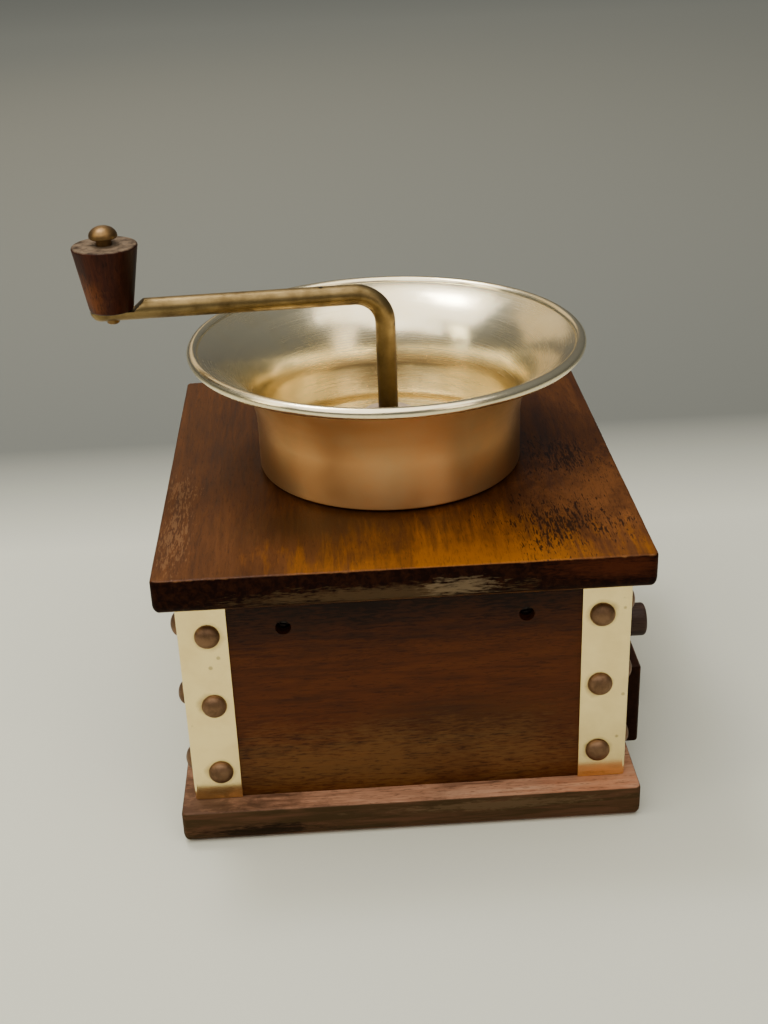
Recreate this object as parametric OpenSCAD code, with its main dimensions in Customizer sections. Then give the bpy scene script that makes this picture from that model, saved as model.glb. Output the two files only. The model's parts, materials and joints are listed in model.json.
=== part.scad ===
// Hand-cranked coffee mill: a wooden case with brass corner strips, a flared brass hopper,
// a conical burr set under the top board and a drawer for the grounds in the right side.
// Origin: centre of the case on the underside of the base board. +Z up, front towards -Y.

/* [Case] */
// Width of the wooden case across the front, without the corner strips
case_w = 166; // [150:1:190]
// Depth of the wooden case, without the corner strips
case_d = 166; // [150:1:190]
// Height of the four panels between the boards
case_h = 90; // [86:1:120]
// Thickness of the panels
panel_t = 12; // [10:0.5:14]
// Depth of the rabbets in the front and back panels that take the side panels
rabbet = 6; // [4:0.5:7]
// Wood of the cleats below the panel screws
cleat_edge = 3; // [2.5:0.5:6]

/* [Boards] */
// Thickness of the base board
base_t = 14; // [10:0.5:20]
// Overhang of the base board at the sides
base_side_over = 6; // [3:0.5:12]
// Overhang of the base board at the front and back
base_front_over = 10; // [3:0.5:16]
// Thickness of the top board
top_t = 14; // [12:0.5:20]
// Overhang of the top board at the sides
top_side_over = 7; // [3:0.5:12]
// Overhang of the top board at the front and back
top_front_over = 13; // [3:0.5:18]
// Rounding of the boards' upright corners
board_corner_r = 4; // [2:0.5:8]
// Rounding of the boards' worn outer arrises
board_arris_r = 3.5; // [1.5:0.5:4.5]
// Rounding of the boards' crisp arrises
board_crisp_r = 1.2; // [0.6:0.2:2]

/* [Corner strips] */
// Width of each flange of a corner strip
strip_w = 18.5; // [16:0.5:22]
// Thickness of the brass sheet of the corner strips
strip_t = 1; // [0.6:0.1:1.6]
// Outer radius of the fold of the corner strips
strip_fold_r = 1.4; // [1:0.1:2]
// Distance of the nails from the outer corner
nail_inset = 11; // [9:0.5:12]
// Height of the lowest nail over the base board
nail_first = 12.5; // [9:0.5:20]
// Distance of the highest nail below the top board
nail_last_drop = 16.5; // [9:0.5:24]
// Nails in each flange
nail_rows = 3; // [2:1:4]
// Diameter of the domed nail heads
nail_head_d = 9.5; // [7:0.5:11]
// Height of the domed nail heads
nail_head_h = 3.2; // [2:0.1:4]
// Diameter of the nail shanks
nail_shank_d = 2; // [1.4:0.1:2.4]

/* [Screws] */
// Distance of the panel screws from the middle of the panel
panel_screw_x = 45; // [35:1:55]
// Distance of the panel screws below the top board
panel_screw_drop = 15; // [8:0.5:15]
// Diameter of the sunk holes over the panel screws
panel_screw_hole_d = 5.8; // [5.6:0.2:7]
// Depth of the sunk holes over the panel screws
panel_screw_sink = 5; // [3:0.5:6]
// Depth of the base screws in the panels
base_screw_bite = 16; // [10:0.5:24]
// Spacing of the base screws along a panel
base_screw_step = 50; // [40:1:60]
// Distance of the cleat screws from the middle of a cleat
cleat_screw_x = 25; // [15:1:30]
// Diameter of the wood screws
wood_screw_d = 3.5; // [3:0.1:4]
// Diameter of the wood screw heads
wood_screw_head_d = 5.4; // [5:0.1:5.6]

/* [Drawer] */
// Gap between the drawer front and the corner strips
drawer_strip_gap = 0.5; // [0.3:0.1:6]
// Height of the drawer front over the drawer box
drawer_front_lap = 9; // [6:0.5:16]
// Thickness of the drawer front
drawer_front_t = 10; // [8:0.5:14]
// Gap between the base board and the drawer front
drawer_front_gap = 1.4; // [0.6:0.1:3]
// Gap between the drawer box and the left panel
drawer_back_gap = 9.3; // [4:0.1:30]
// Gap between the drawer box and the adjusting screw at its lowest
drawer_top_gap = 1.5; // [1:0.1:6]
// Thickness of the drawer's sides and back
drawer_wall = 6; // [4:0.5:8]
// Thickness of the drawer's bottom
drawer_floor = 4; // [3:0.5:5]
// Diameter of the drawer knob
drawer_knob_d = 14.6; // [12:0.2:20]
// Projection of the drawer knob
drawer_knob_l = 16; // [12:0.5:24]
// Width of the runners on both sides of the drawer
runner_w = 12.4; // [8:0.2:20]
// Height of the runners
runner_h = 10; // [6:0.5:16]

/* [Hopper] */
// Outer radius of the bowl's straight lower wall
bowl_r = 53; // [50:0.5:60]
// Outer radius of the bowl's rolled rim
rim_r = 78.5; // [74:0.5:84]
// Height of the rim's top over the top board
bowl_h = 53; // [46:0.5:60]
// Height of the straight lower wall over the top board
bowl_straight_h = 20; // [12:0.5:24]
// Gap between the bowl's foot and the top board
bowl_gap = 1.3; // [0.6:0.1:3]
// Thickness of the bowl's spun brass
bowl_t = 1.2; // [0.8:0.1:1.6]
// Radius of the rolled bead on the rim
bead_r = 2.2; // [1.8:0.1:3]
// Width of the bowl's foot ring round its raised floor
foot_ring_w = 6; // [3:0.5:8]

/* [Grinding works] */
// Gap between the bowl's foot ring and the housing's top flange
flange_gap = 1.3; // [0.5:0.1:3]
// Lap of the housing's top flange on the top board
flange_lap = 7.9; // [5:0.1:10]
// Thickness of the housing's top flange
flange_t = 6; // [5:0.5:8]
// Depth of the housing below the top of the top board
housing_depth = 48; // [46:0.5:50]
// Width of the housing's lower flange
housing_foot_w = 6; // [5:0.5:8]
// Wall of the housing round the fixed burr ring
housing_wall = 3.5; // [2.5:0.1:5]
// Shelf of the housing over the fixed burr ring
ring_shelf = 2; // [1:0.1:3]
// Height of the fixed burr ring
ring_h = 24; // [22:0.5:26]
// Radial depth of the fixed burr ring's funnel
ring_funnel = 5.5; // [4:0.1:7]
// Radial opening of the fixed burr ring from its waist to its lower edge
ring_relief = 1.8; // [1:0.1:3]
// Height of the fine grinding zone below the waist
fine_h = 9; // [7:0.5:11]
// Radial gap between the burrs at rest
burr_gap = 0.5; // [0.4:0.05:1]
// Coarse flutes of the turning burr
coarse_flutes = 7; // [5:1:9]
// Fine grooves of each burr
fine_grooves = 28; // [20:1:32]
// Depth of the fine grooves
fine_groove_depth = 1; // [0.6:0.1:1.4]
// Skew of the grooves against the axis, in degrees
groove_skew = 18; // [8:1:24]
// Radius of the upper bearing's hub
hub_r = 10.6; // [10:0.2:12]
// Height of the upper bearing's hub over the top board
hub_h = 20; // [18:0.5:22]
// Outer radius of the shaft bush
bush_r = 6.5; // [6:0.1:7]
// Radius of the thrust ball under the shaft
ball_r = 3; // [2.5:0.1:3.2]
// Radius of the adjusting screw
adjuster_r = 5; // [4.6:0.1:5.4]
// Radius of the adjusting screw's fluted head
adjuster_head_r = 12; // [10:0.5:14]
// Thickness of the adjusting screw's head
adjuster_head_t = 5; // [4:0.2:5.2]
// Width across the corners of the lock nut
lock_nut_d = 17; // [15:0.5:20]
// Thickness of the lock nut
lock_nut_t = 4; // [3:0.2:4.2]

/* [Crank] */
// Diameter of the crank rod
rod_d = 8; // [7:0.1:9]
// Height of the crank arm's centre line over the top board
arm_h = 70; // [64:0.5:80]
// Radius of the crank's bend at the centre line
bend_r = 12; // [10:0.5:18]
// Distance of the knob's pin from the shaft
crank_l = 105; // [95:1:120]
// Angle of the crank arm at rest, turned from -X towards the front, in degrees
crank_rest = 3; // [0:0.5:180]
// Radius of the knob at its top
knob_top_r = 12.6; // [11:0.2:15]
// Radius of the knob at its foot
knob_foot_r = 8.3; // [7.5:0.1:10]
// Height of the knob
knob_h = 25.5; // [20:0.5:32]
// Diameter of the knob's pin
pin_d = 6; // [5:0.1:6.6]
// Diameter of the pin's riveted end
rivet_d = 4.8; // [4:0.1:5]
// Height of the bare pin between the knob and the pin's head
pin_neck = 2.6; // [1:0.1:4]
// Diameter of the pin's domed head
pin_head_d = 10.8; // [9:0.2:14]
// Height of the pin's domed head
pin_head_h = 4.6; // [3:0.1:5]

/* [Hidden] */
$fn = 64;

// Colours
walnut = "#6b3d22";
dark_walnut = "#4a2a1b";
brass_sheet = "#d9c48f";
old_brass = "#8a6a35";
bronze = "#5a4632";
cast_iron = "#55565a";
steel = "#8d8f94";
pale_wood = "#b08a5e";

// Clearances
play = 0.3;
slack = 0.05;
past = 1;

// Share of a board's thickness that a screw bites into
bite = 0.6;

// Levels and inner sizes of the case
case_top = base_t + case_h;
wood_top = case_top + top_t;
inner_w = case_w - 2 * panel_t;
inner_d = case_d - 2 * panel_t;
side_panel_d = case_d - 2 * (panel_t - rabbet);
cleat_s = panel_screw_drop + cleat_edge;
side_screw_y = inner_d / 4;
nail_shank_l = strip_t + panel_t - rabbet - play;
nail_step = (case_h - nail_first - nail_last_drop) / (nail_rows - 1);
panel_screw_z = case_top - panel_screw_drop;
panel_screw_l = panel_t - panel_screw_sink + bite * cleat_s;
base_screw_l = base_t + base_screw_bite;
cleat_screw_l = cleat_s + bite * top_t;
screw_head_t = 2.2;
sunk_head_t = 2.6;

// Radii from the bowl's wall inwards to the burrs
bowl_floor_r = bowl_r - foot_ring_w;
flange_r = bowl_floor_r - bowl_t - flange_gap;
board_hole_r = flange_r - flange_lap;
housing_foot_r = board_hole_r - 2 * play;
housing_r = housing_foot_r - housing_foot_w;
ring_r = housing_r - housing_wall;
throat_r = ring_r - ring_shelf;
ring_waist_r = throat_r - ring_funnel;
ring_mouth_r = ring_waist_r + ring_relief;

// Levels of the hopper
bowl_floor_z = wood_top + flange_t;
bowl_floor_top = bowl_floor_z + bowl_t;
bowl_foot_z = wood_top + bowl_gap;
flare_z = wood_top + bowl_straight_h;
bead_z = wood_top + bowl_h - bead_r;
bead_x = rim_r - bead_r;
flare_rise = bead_z - flare_z;
flare_run = bead_x - bowl_r + bowl_t / 2;
flare_turn = 2 * atan(flare_run / flare_rise);
flare_r = flare_rise / sin(flare_turn);

// Levels of the grinding works
works_z = wood_top - housing_depth;
bridge_ring_t = 5;
bridge_ring_r = (ring_mouth_r + ring_r) / 2;
housing_foot_t = 5;
burr_base_z = works_z + play;
cone_h = ring_h - burr_base_z + works_z;
cone_mouth_r = ring_mouth_r - burr_gap;
cone_waist_r = ring_waist_r - burr_gap;
cone_top_share = 0.66;
cone_top_r = cone_waist_r * cone_top_share;
flute_depth = 3;
flute_w = 3.6;
fine_groove_w = 1.1;
rod_r = rod_d / 2;
collar_wall = 5;
collar_r = rod_r + collar_wall;
collar_h = 8;
collar_top = burr_base_z + cone_h + collar_h;
burr_pin_z = collar_top - collar_h / 2;
burr_pin_r = 1.5;
shaft_tail = 3;
shaft_end = burr_base_z - shaft_tail;
ball_z = shaft_end - ball_r;
cup_depth = 1.8;
adjuster_top = ball_z - ball_r + cup_depth;
adjust_travel = 0.5;
bridge_hub_h = 7;
adjuster_tip = 3;
bridge_hub_z = adjuster_top - bridge_hub_h - adjuster_tip;
bridge_hub_wall = 5;
bridge_hub_r = adjuster_r + bridge_hub_wall;
bridge_leg_gap = 0.5;
bridge_leg_r = ring_r + bridge_leg_gap;
bridge_leg_step = 1;
bridge_leg_t = housing_foot_r - bridge_leg_r - bridge_leg_step;
bridge_arm_w = 8;
lock_nut_z = bridge_hub_z - adjust_travel - play - lock_nut_t;
adjuster_head_z = lock_nut_z - adjuster_head_t;
lower_screw_pcr = (housing_r + housing_foot_r) / 2;
lower_screw_d = 3;
lower_screw_l = bridge_ring_t + housing_foot_t - play;
lower_screw_angles = [30, 150, 270];
leg_angles = [90, 210, 330];

// Levels of the upper bearing and its screws
hub_top = wood_top + hub_h;
hub_gap = 2;
hub_z = bowl_floor_top + hub_gap;
bush_drop = 0.6;
bush_top = hub_top - bush_drop;
foot_t = 2.5;
spider_arm_w = 8;
spider_arm_step = 1;
bridge_screw_pcr = (board_hole_r + flange_r) / 2;
bridge_screw_d = 3;
bridge_screw_l = foot_t + bowl_t + flange_t + bite * top_t;
bridge_screw_angles = [30, 150, 270];
foot_step = 9;
foot_r0 = throat_r + foot_step;
foot_r1 = flange_r;

// Levels and places of the drawer
drawer_z = base_t + play;
drawer_top = adjuster_head_z - adjust_travel - drawer_top_gap;
drawer_h = drawer_top - drawer_z;
drawer_x1 = case_w / 2 + play;
drawer_x0 = drawer_back_gap - inner_w / 2;
bay_w = inner_d - 2 * runner_w;
bay_top = drawer_top + 3 * play;
drawer_w = bay_w - 4 * play;
drawer_front_w = case_d - 2 * (strip_w - strip_t + drawer_strip_gap);
drawer_front_h = drawer_h + drawer_front_lap;
drawer_front_z = base_t + drawer_front_gap;
drawer_knob_z = drawer_front_z + drawer_front_h / 2;
drawer_arris_r = 1.5;
knob_screw_d = 3;
knob_screw_bite = 9;
runner_len = inner_w - 2 * play;

// Levels of the crank
arm_z = wood_top + arm_h;
tang_cut = 8.5;
tang_end = knob_foot_r;
knob_z = arm_z + play;
knob_top = knob_z + knob_h;
pin_r = pin_d / 2;
rivet_r = rivet_d / 2;
rivet_l = 1;
pin_head_z = knob_top + pin_neck;

// Outline of a board's cross-section: one rounding at the upper corners, one at the lower
module board_outline(l, t, top_r, foot_r) {
    translate([-l / 2, foot_r])
        square([l, t - foot_r - top_r]);
    translate([-l / 2 + foot_r, 0])
        square([l - 2 * foot_r, foot_r]);
    translate([-l / 2 + top_r, t - top_r])
        square([l - 2 * top_r, top_r]);
    for (s = [-1, 1]) {
        translate([s * (l / 2 - foot_r), foot_r])
            circle(foot_r);
        translate([s * (l / 2 - top_r), t - top_r])
            circle(top_r);
    }
}

// Board with rounded upright corners and rounded arrises all the way round
module rounded_board(w, d, t, corner_r, top_r, foot_r) {
    intersection() {
        translate([0, -d / 2, 0])
            linear_extrude(t)
                board_outline(w, d, corner_r, corner_r);
        translate([0, d / 2, 0])
            rotate([90, 0, 0])
                linear_extrude(d)
                    board_outline(w, t, top_r, foot_r);
        translate([-w / 2, 0, 0])
            rotate([90, 0, 90])
                linear_extrude(w)
                    board_outline(d, t, top_r, foot_r);
    }
}

// Box given by its lowest corner and its highest corner
module block(low, high) {
    translate(low)
        cube(high - low);
}

// Pan-head screw: head on the plane z = 0 pointing up, shank going down
module pan_screw(head_d, head_t, shank_d, shank_l) {
    cylinder(d = head_d, h = head_t);
    translate([0, 0, -shank_l])
        cylinder(d = shank_d, h = shank_l);
}

// Countersunk screw: flat head flush with the plane z = 0, shank going down
module sunk_screw(head_d, shank_d, length) {
    rotate_extrude()
        polygon([[0, -length], [shank_d / 2, -length], [shank_d / 2, -sunk_head_t],
            [head_d / 2, 0], [0, 0]]);
}

// Places of the base screws in the base board
module at_base_screws() {
    for (s = [-1, 1], k = [-1, 0, 1])
        translate([k * base_screw_step, s * (case_d / 2 - panel_t / 2), 0])
            children();
    for (s = [-1, 1])
        translate([-(case_w / 2 - panel_t / 2), s * side_screw_y, 0])
            children();
}

module base_screw_holes() {
    at_base_screws()
        mirror([0, 0, 1])
            sunk_screw(wood_screw_head_d + 2 * slack, wood_screw_d + 2 * slack, base_screw_l + play);
}

// Places of the panel screws, each turned so that its head faces out along -Z of the screw
module at_panel_screws() {
    for (s = [-1, 1], k = [-1, 1])
        rotate([0, 0, s < 0 ? 0 : 180])
            translate([k * panel_screw_x, -case_d / 2 + panel_screw_sink, panel_screw_z])
                rotate([90, 0, 0])
                    children();
}

module panel_screw_holes() {
    at_panel_screws() {
        cylinder(d = panel_screw_hole_d, h = panel_screw_sink + past);
        translate([0, 0, -panel_screw_l - play])
            cylinder(d = wood_screw_d + 2 * slack, h = panel_screw_l + past);
    }
}

// Places of the screws that hold the top board from below
module at_cleat_screws() {
    for (s = [-1, 1], k = [-1, 1])
        translate([k * cleat_screw_x, s * (inner_d / 2 - cleat_s / 2), case_top - cleat_s])
            mirror([0, 0, 1])
                children();
}

module cleat_screw_holes() {
    at_cleat_screws()
        translate([0, 0, -cleat_screw_l - play])
            cylinder(d = wood_screw_d + 2 * slack, h = cleat_screw_l + play + past);
}

// One corner of the case, with x and y running outwards from the panels' outer faces
module at_corner(sx, sy) {
    mirror([sx < 0 ? 1 : 0, 0, 0])
        mirror([0, sy < 0 ? 1 : 0, 0])
            translate([case_w / 2, case_d / 2, base_t])
                children();
}

// Places of the nails of one corner, with the head pointing out along +Z of the nail
module at_corner_nails() {
    for (k = [0 : nail_rows - 1]) {
        translate([strip_t - nail_inset, strip_t, nail_first + k * nail_step])
            rotate([-90, 0, 0])
                children();
        translate([strip_t, strip_t - nail_inset, nail_first + k * nail_step])
            rotate([0, 90, 0])
                children();
    }
}

module nail_holes() {
    for (sx = [-1, 1], sy = [-1, 1])
        at_corner(sx, sy)
            at_corner_nails()
                translate([0, 0, -nail_shank_l - play])
                    cylinder(d = nail_shank_d + 2 * slack, h = nail_shank_l + play + past);
}

// Upholstery nail: a dome cut from a sphere on a straight shank
module dome_nail() {
    dome_r = (pow(nail_head_d / 2, 2) + pow(nail_head_h, 2)) / (2 * nail_head_h);
    intersection() {
        translate([0, 0, nail_head_h - dome_r])
            sphere(dome_r);
        cylinder(d = nail_head_d, h = nail_head_h + past);
    }
    translate([0, 0, -nail_shank_l])
        cylinder(d = nail_shank_d, h = nail_shank_l);
}

// Wooden case

module base_board() color(dark_walnut) {
    difference() {
        rounded_board(case_w + 2 * base_side_over, case_d + 2 * base_front_over, base_t,
            board_corner_r, board_crisp_r, board_arris_r);
        base_screw_holes();
    }
}

module top_board() color(walnut) {
    difference() {
        translate([0, 0, case_top])
            rounded_board(case_w + 2 * top_side_over, case_d + 2 * top_front_over, top_t,
                board_corner_r, board_crisp_r, board_arris_r);
        translate([0, 0, case_top - past])
            cylinder(r = board_hole_r, h = top_t + 2 * past);
        cleat_screw_holes();
        bridge_screw_holes();
    }
}

// Front panel, rabbeted at both ends; the back panel is the same turned half round
module cross_panel() {
    difference() {
        block([-case_w / 2, -case_d / 2, base_t], [case_w / 2, -inner_d / 2, case_top]);
        for (s = [-1, 1])
            translate([s * case_w / 2, -case_d / 2 + panel_t - rabbet + panel_t, case_top - case_h / 2])
                cube([2 * panel_t, 2 * panel_t, case_h + past], center = true);
        panel_screw_holes();
        base_screw_holes();
        nail_holes();
    }
}

module front_panel() color(walnut) cross_panel();

module back_panel() color(walnut)
    rotate([0, 0, 180])
        cross_panel();

module left_panel() color(walnut) {
    difference() {
        block([-case_w / 2, -side_panel_d / 2, base_t], [-inner_w / 2, side_panel_d / 2, case_top]);
        base_screw_holes();
        nail_holes();
    }
}

module right_panel() color(walnut) {
    difference() {
        block([inner_w / 2, -side_panel_d / 2, base_t], [case_w / 2, side_panel_d / 2, case_top]);
        block([inner_w / 2 - past, -bay_w / 2, base_t - past], [case_w / 2 + past, bay_w / 2, bay_top]);
        nail_holes();
    }
}

module cleat() {
    difference() {
        block([-inner_w / 2 + play, -inner_d / 2, case_top - cleat_s],
            [inner_w / 2 - play, -inner_d / 2 + cleat_s, case_top]);
        panel_screw_holes();
        cleat_screw_holes();
    }
}

module front_cleat() color(pale_wood) cleat();

module back_cleat() color(pale_wood)
    rotate([0, 0, 180])
        cleat();

// Cross-section of a corner strip: two flanges that meet in a round fold
module strip_section() {
    fold = strip_t - strip_fold_r;
    translate([strip_t - strip_w, 0])
        square([strip_w - strip_fold_r, strip_t]);
    translate([0, strip_t - strip_w])
        square([strip_t, strip_w - strip_fold_r]);
    difference() {
        translate([fold, fold])
            intersection() {
                circle(strip_fold_r);
                square(strip_fold_r);
            }
        translate([-strip_w, -strip_w])
            square(strip_w);
    }
}

// Brass angle over one corner of the case
module corner_strip(sx, sy) color(brass_sheet) {
    difference() {
        at_corner(sx, sy)
            linear_extrude(case_h)
                strip_section();
        nail_holes();
    }
}

module strip_front_left() corner_strip(-1, -1);

module strip_front_right() corner_strip(1, -1);

module strip_back_left() corner_strip(-1, 1);

module strip_back_right() corner_strip(1, 1);

module corner_nails() color(bronze)
    for (sx = [-1, 1], sy = [-1, 1])
        at_corner(sx, sy)
            at_corner_nails()
                dome_nail();

module panel_screws() color(steel)
    at_panel_screws()
        pan_screw(wood_screw_head_d, screw_head_t, wood_screw_d, panel_screw_l);

module base_screws() color(steel)
    at_base_screws()
        mirror([0, 0, 1])
            sunk_screw(wood_screw_head_d, wood_screw_d, base_screw_l);

module cleat_screws() color(steel)
    at_cleat_screws()
        pan_screw(wood_screw_head_d, screw_head_t, wood_screw_d, cleat_screw_l);

// Drawer

module drawer_runners() color(pale_wood)
    for (s = [-1, 1])
        translate([-runner_len / 2, s * (bay_w / 2 + runner_w / 2) - runner_w / 2, base_t])
            cube([runner_len, runner_w, runner_h]);

module drawer_front() color(dark_walnut) {
    difference() {
        translate([drawer_x1, 0, drawer_front_z])
            rotate([90, 0, 90])
                drawer_front_plank();
        translate([drawer_x1 - past, 0, drawer_knob_z])
            rotate([0, 90, 0])
                cylinder(d = knob_screw_d + 2 * slack, h = drawer_front_t + 2 * past);
    }
}

// Drawer front lying flat: width along x, height along y, outer face up
module drawer_front_plank() {
    intersection() {
        translate([-drawer_front_w / 2, 0, 0])
            cube([drawer_front_w, drawer_front_h, drawer_front_t]);
        translate([0, drawer_front_h, 0])
            rotate([90, 0, 0])
                linear_extrude(drawer_front_h)
                    board_outline(drawer_front_w, drawer_front_t, drawer_arris_r, board_crisp_r);
        translate([-drawer_front_w / 2, drawer_front_h / 2, 0])
            rotate([90, 0, 90])
                linear_extrude(drawer_front_w)
                    board_outline(drawer_front_h, drawer_front_t, drawer_arris_r, board_crisp_r);
    }
}

module drawer_side(s) color(pale_wood) {
    y0 = s < 0 ? -drawer_w / 2 : drawer_w / 2 - drawer_wall;
    block([drawer_x0, y0, drawer_z + drawer_floor], [drawer_x1, y0 + drawer_wall, drawer_top]);
}

module drawer_side_near() drawer_side(-1);

module drawer_side_far() drawer_side(1);

module drawer_back() color(pale_wood)
    block([drawer_x0, -drawer_w / 2 + drawer_wall, drawer_z + drawer_floor],
        [drawer_x0 + drawer_wall, drawer_w / 2 - drawer_wall, drawer_top]);

module drawer_bottom() color(pale_wood)
    block([drawer_x0, -drawer_w / 2, drawer_z], [drawer_x1, drawer_w / 2, drawer_z + drawer_floor]);

// Turned knob: a plain cylinder with its outer edge rounded, bored for its screw
module drawer_knob() color(dark_walnut) {
    knob_r = drawer_knob_d / 2;
    translate([drawer_x1 + drawer_front_t, 0, drawer_knob_z])
        rotate([0, 90, 0])
            difference() {
                union() {
                    cylinder(r = knob_r, h = drawer_knob_l - drawer_arris_r);
                    cylinder(r = knob_r - drawer_arris_r, h = drawer_knob_l);
                    translate([0, 0, drawer_knob_l - drawer_arris_r])
                        rotate_extrude()
                            translate([knob_r - drawer_arris_r, 0])
                                intersection() {
                                    circle(drawer_arris_r);
                                    square(drawer_arris_r);
                                }
                }
                translate([0, 0, -past])
                    cylinder(d = knob_screw_d + 2 * slack, h = knob_screw_bite + past + play);
            }
}

module drawer_knob_screw() color(steel)
    translate([drawer_x1, 0, drawer_knob_z])
        rotate([0, -90, 0])
            pan_screw(wood_screw_head_d, screw_head_t, knob_screw_d, drawer_front_t + knob_screw_bite);

// Grinding works

// Screws through the upper bearing's feet, the bowl's floor and the flange into the top board
module at_bridge_screws() {
    for (a = bridge_screw_angles)
        rotate([0, 0, a])
            translate([bridge_screw_pcr, 0, bowl_floor_top + foot_t])
                children();
}

module bridge_screw_holes() {
    at_bridge_screws()
        translate([0, 0, -bridge_screw_l - play])
            cylinder(d = bridge_screw_d + 2 * slack, h = bridge_screw_l + play + past);
}

// Screws through the lower bridge into the housing's foot
module at_lower_screws() {
    for (a = lower_screw_angles)
        rotate([0, 0, a])
            translate([lower_screw_pcr, 0, works_z - bridge_ring_t])
                mirror([0, 0, 1])
                    children();
}

module lower_screw_holes() {
    at_lower_screws()
        translate([0, 0, -lower_screw_l - play])
            cylinder(d = lower_screw_d + 2 * slack, h = lower_screw_l + play + past);
}

module burr_housing() color(cast_iron) {
    difference() {
        union() {
            translate([0, 0, wood_top])
                cylinder(r = flange_r, h = flange_t);
            translate([0, 0, works_z])
                cylinder(r = housing_r, h = housing_depth + flange_t);
            translate([0, 0, works_z])
                cylinder(r = housing_foot_r, h = housing_foot_t);
        }
        translate([0, 0, works_z - past])
            cylinder(r = throat_r, h = housing_depth + flange_t + 2 * past);
        translate([0, 0, works_z - past])
            cylinder(r = ring_r + slack, h = ring_h + slack + past);
        bridge_screw_holes();
        lower_screw_holes();
    }
}

// V-shaped cutter along a burr's slope from (r0, z0) to (r1, z1): its point lies one depth inside
// that line, it opens outwards to twice the width, and it is skewed against the axis
module groove_cutter(r0, z0, r1, z1, depth, width, skew) {
    slope = atan2(r1 - r0, z1 - z0);
    length = norm([r1 - r0, z1 - z0]);
    translate([(r0 + r1) / 2, 0, (z0 + z1) / 2])
        rotate([0, slope, 0])
            rotate([skew, 0, 0])
                translate([0, 0, -length])
                    linear_extrude(2 * length)
                        polygon([[-depth, 0], [depth, -width], [depth, width]]);
}

// Fixed burr: a funnel down to the waist, then a fine zone that opens again downwards
module outer_burr() color(cast_iron) {
    waist_z = works_z + fine_h;
    difference() {
        translate([0, 0, works_z])
            cylinder(r = ring_r, h = ring_h);
        translate([0, 0, works_z - past])
            cylinder(r1 = ring_mouth_r + past * (ring_mouth_r - ring_waist_r) / fine_h,
                r2 = ring_waist_r, h = fine_h + past);
        translate([0, 0, waist_z - slack])
            cylinder(r1 = ring_waist_r, r2 = throat_r, h = ring_h - fine_h + slack);
        translate([0, 0, works_z + ring_h - slack])
            cylinder(r = throat_r, h = past);
        for (k = [0 : fine_grooves - 1])
            rotate([0, 0, k * 360 / fine_grooves])
                mirror([1, 0, 0])
                    groove_cutter(-ring_mouth_r - fine_groove_depth, works_z,
                        -ring_waist_r - fine_groove_depth, waist_z,
                        fine_groove_depth, fine_groove_w, groove_skew);
    }
}

// Turning burr: a skirt with fine skewed grooves, a cone with deep coarse flutes, a collar on top
module inner_burr() color(cast_iron) {
    difference() {
        union() {
            burr_skirt();
            burr_cone();
            translate([0, 0, burr_base_z + cone_h])
                cylinder(r = collar_r, h = collar_h);
        }
        translate([0, 0, burr_base_z - past])
            cylinder(r = rod_r + slack, h = cone_h + collar_h + 2 * past);
        burr_pin_hole();
    }
}

module burr_skirt() {
    difference() {
        translate([0, 0, burr_base_z])
            cylinder(r1 = cone_mouth_r, r2 = cone_waist_r, h = fine_h);
        for (k = [0 : fine_grooves - 1])
            rotate([0, 0, k * 360 / fine_grooves])
                groove_cutter(cone_mouth_r - fine_groove_depth, burr_base_z,
                    cone_waist_r - fine_groove_depth, burr_base_z + fine_h,
                    fine_groove_depth, fine_groove_w, -groove_skew);
    }
}

module burr_cone() {
    waist_z = burr_base_z + fine_h;
    difference() {
        translate([0, 0, waist_z])
            cylinder(r1 = cone_waist_r, r2 = cone_top_r, h = cone_h - fine_h);
        for (k = [0 : coarse_flutes - 1])
            rotate([0, 0, k * 360 / coarse_flutes])
                groove_cutter(cone_waist_r - flute_depth, waist_z,
                    cone_top_r - flute_depth, burr_base_z + cone_h,
                    flute_depth, flute_w, -groove_skew);
    }
}

module burr_pin_hole() {
    translate([0, 0, burr_pin_z])
        rotate([90, 0, 0])
            cylinder(r = burr_pin_r + slack, h = 2 * (collar_r + past), center = true);
}

module burr_pin() color(steel)
    translate([0, 0, burr_pin_z])
        rotate([90, 0, 0])
            cylinder(r = burr_pin_r, h = 2 * (collar_r - play), center = true);

// Yoke under the housing: a ring that holds the fixed burr up and a hub for the adjusting screw
module lower_bridge() color(cast_iron) {
    difference() {
        union() {
            translate([0, 0, works_z - bridge_ring_t])
                cylinder(r = housing_foot_r, h = bridge_ring_t);
            for (a = leg_angles)
                rotate([0, 0, a]) {
                    block([bridge_leg_r, -bridge_arm_w / 2, bridge_hub_z],
                        [bridge_leg_r + bridge_leg_t, bridge_arm_w / 2, works_z - bridge_ring_t + past]);
                    block([0, -bridge_arm_w / 2, bridge_hub_z],
                        [bridge_leg_r + past, bridge_arm_w / 2, bridge_hub_z + bridge_hub_h - past]);
                }
            translate([0, 0, bridge_hub_z])
                cylinder(r = bridge_hub_r, h = bridge_hub_h);
        }
        translate([0, 0, works_z - bridge_ring_t - past])
            cylinder(r = bridge_ring_r, h = bridge_ring_t + 2 * past);
        translate([0, 0, bridge_hub_z - past])
            cylinder(r = adjuster_r + slack, h = bridge_hub_h + 2 * past);
        lower_screw_holes();
    }
}

module lower_bridge_screws() color(steel)
    at_lower_screws()
        pan_screw(wood_screw_head_d, screw_head_t, lower_screw_d, lower_screw_l);

// Hopper and upper bearing

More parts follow.
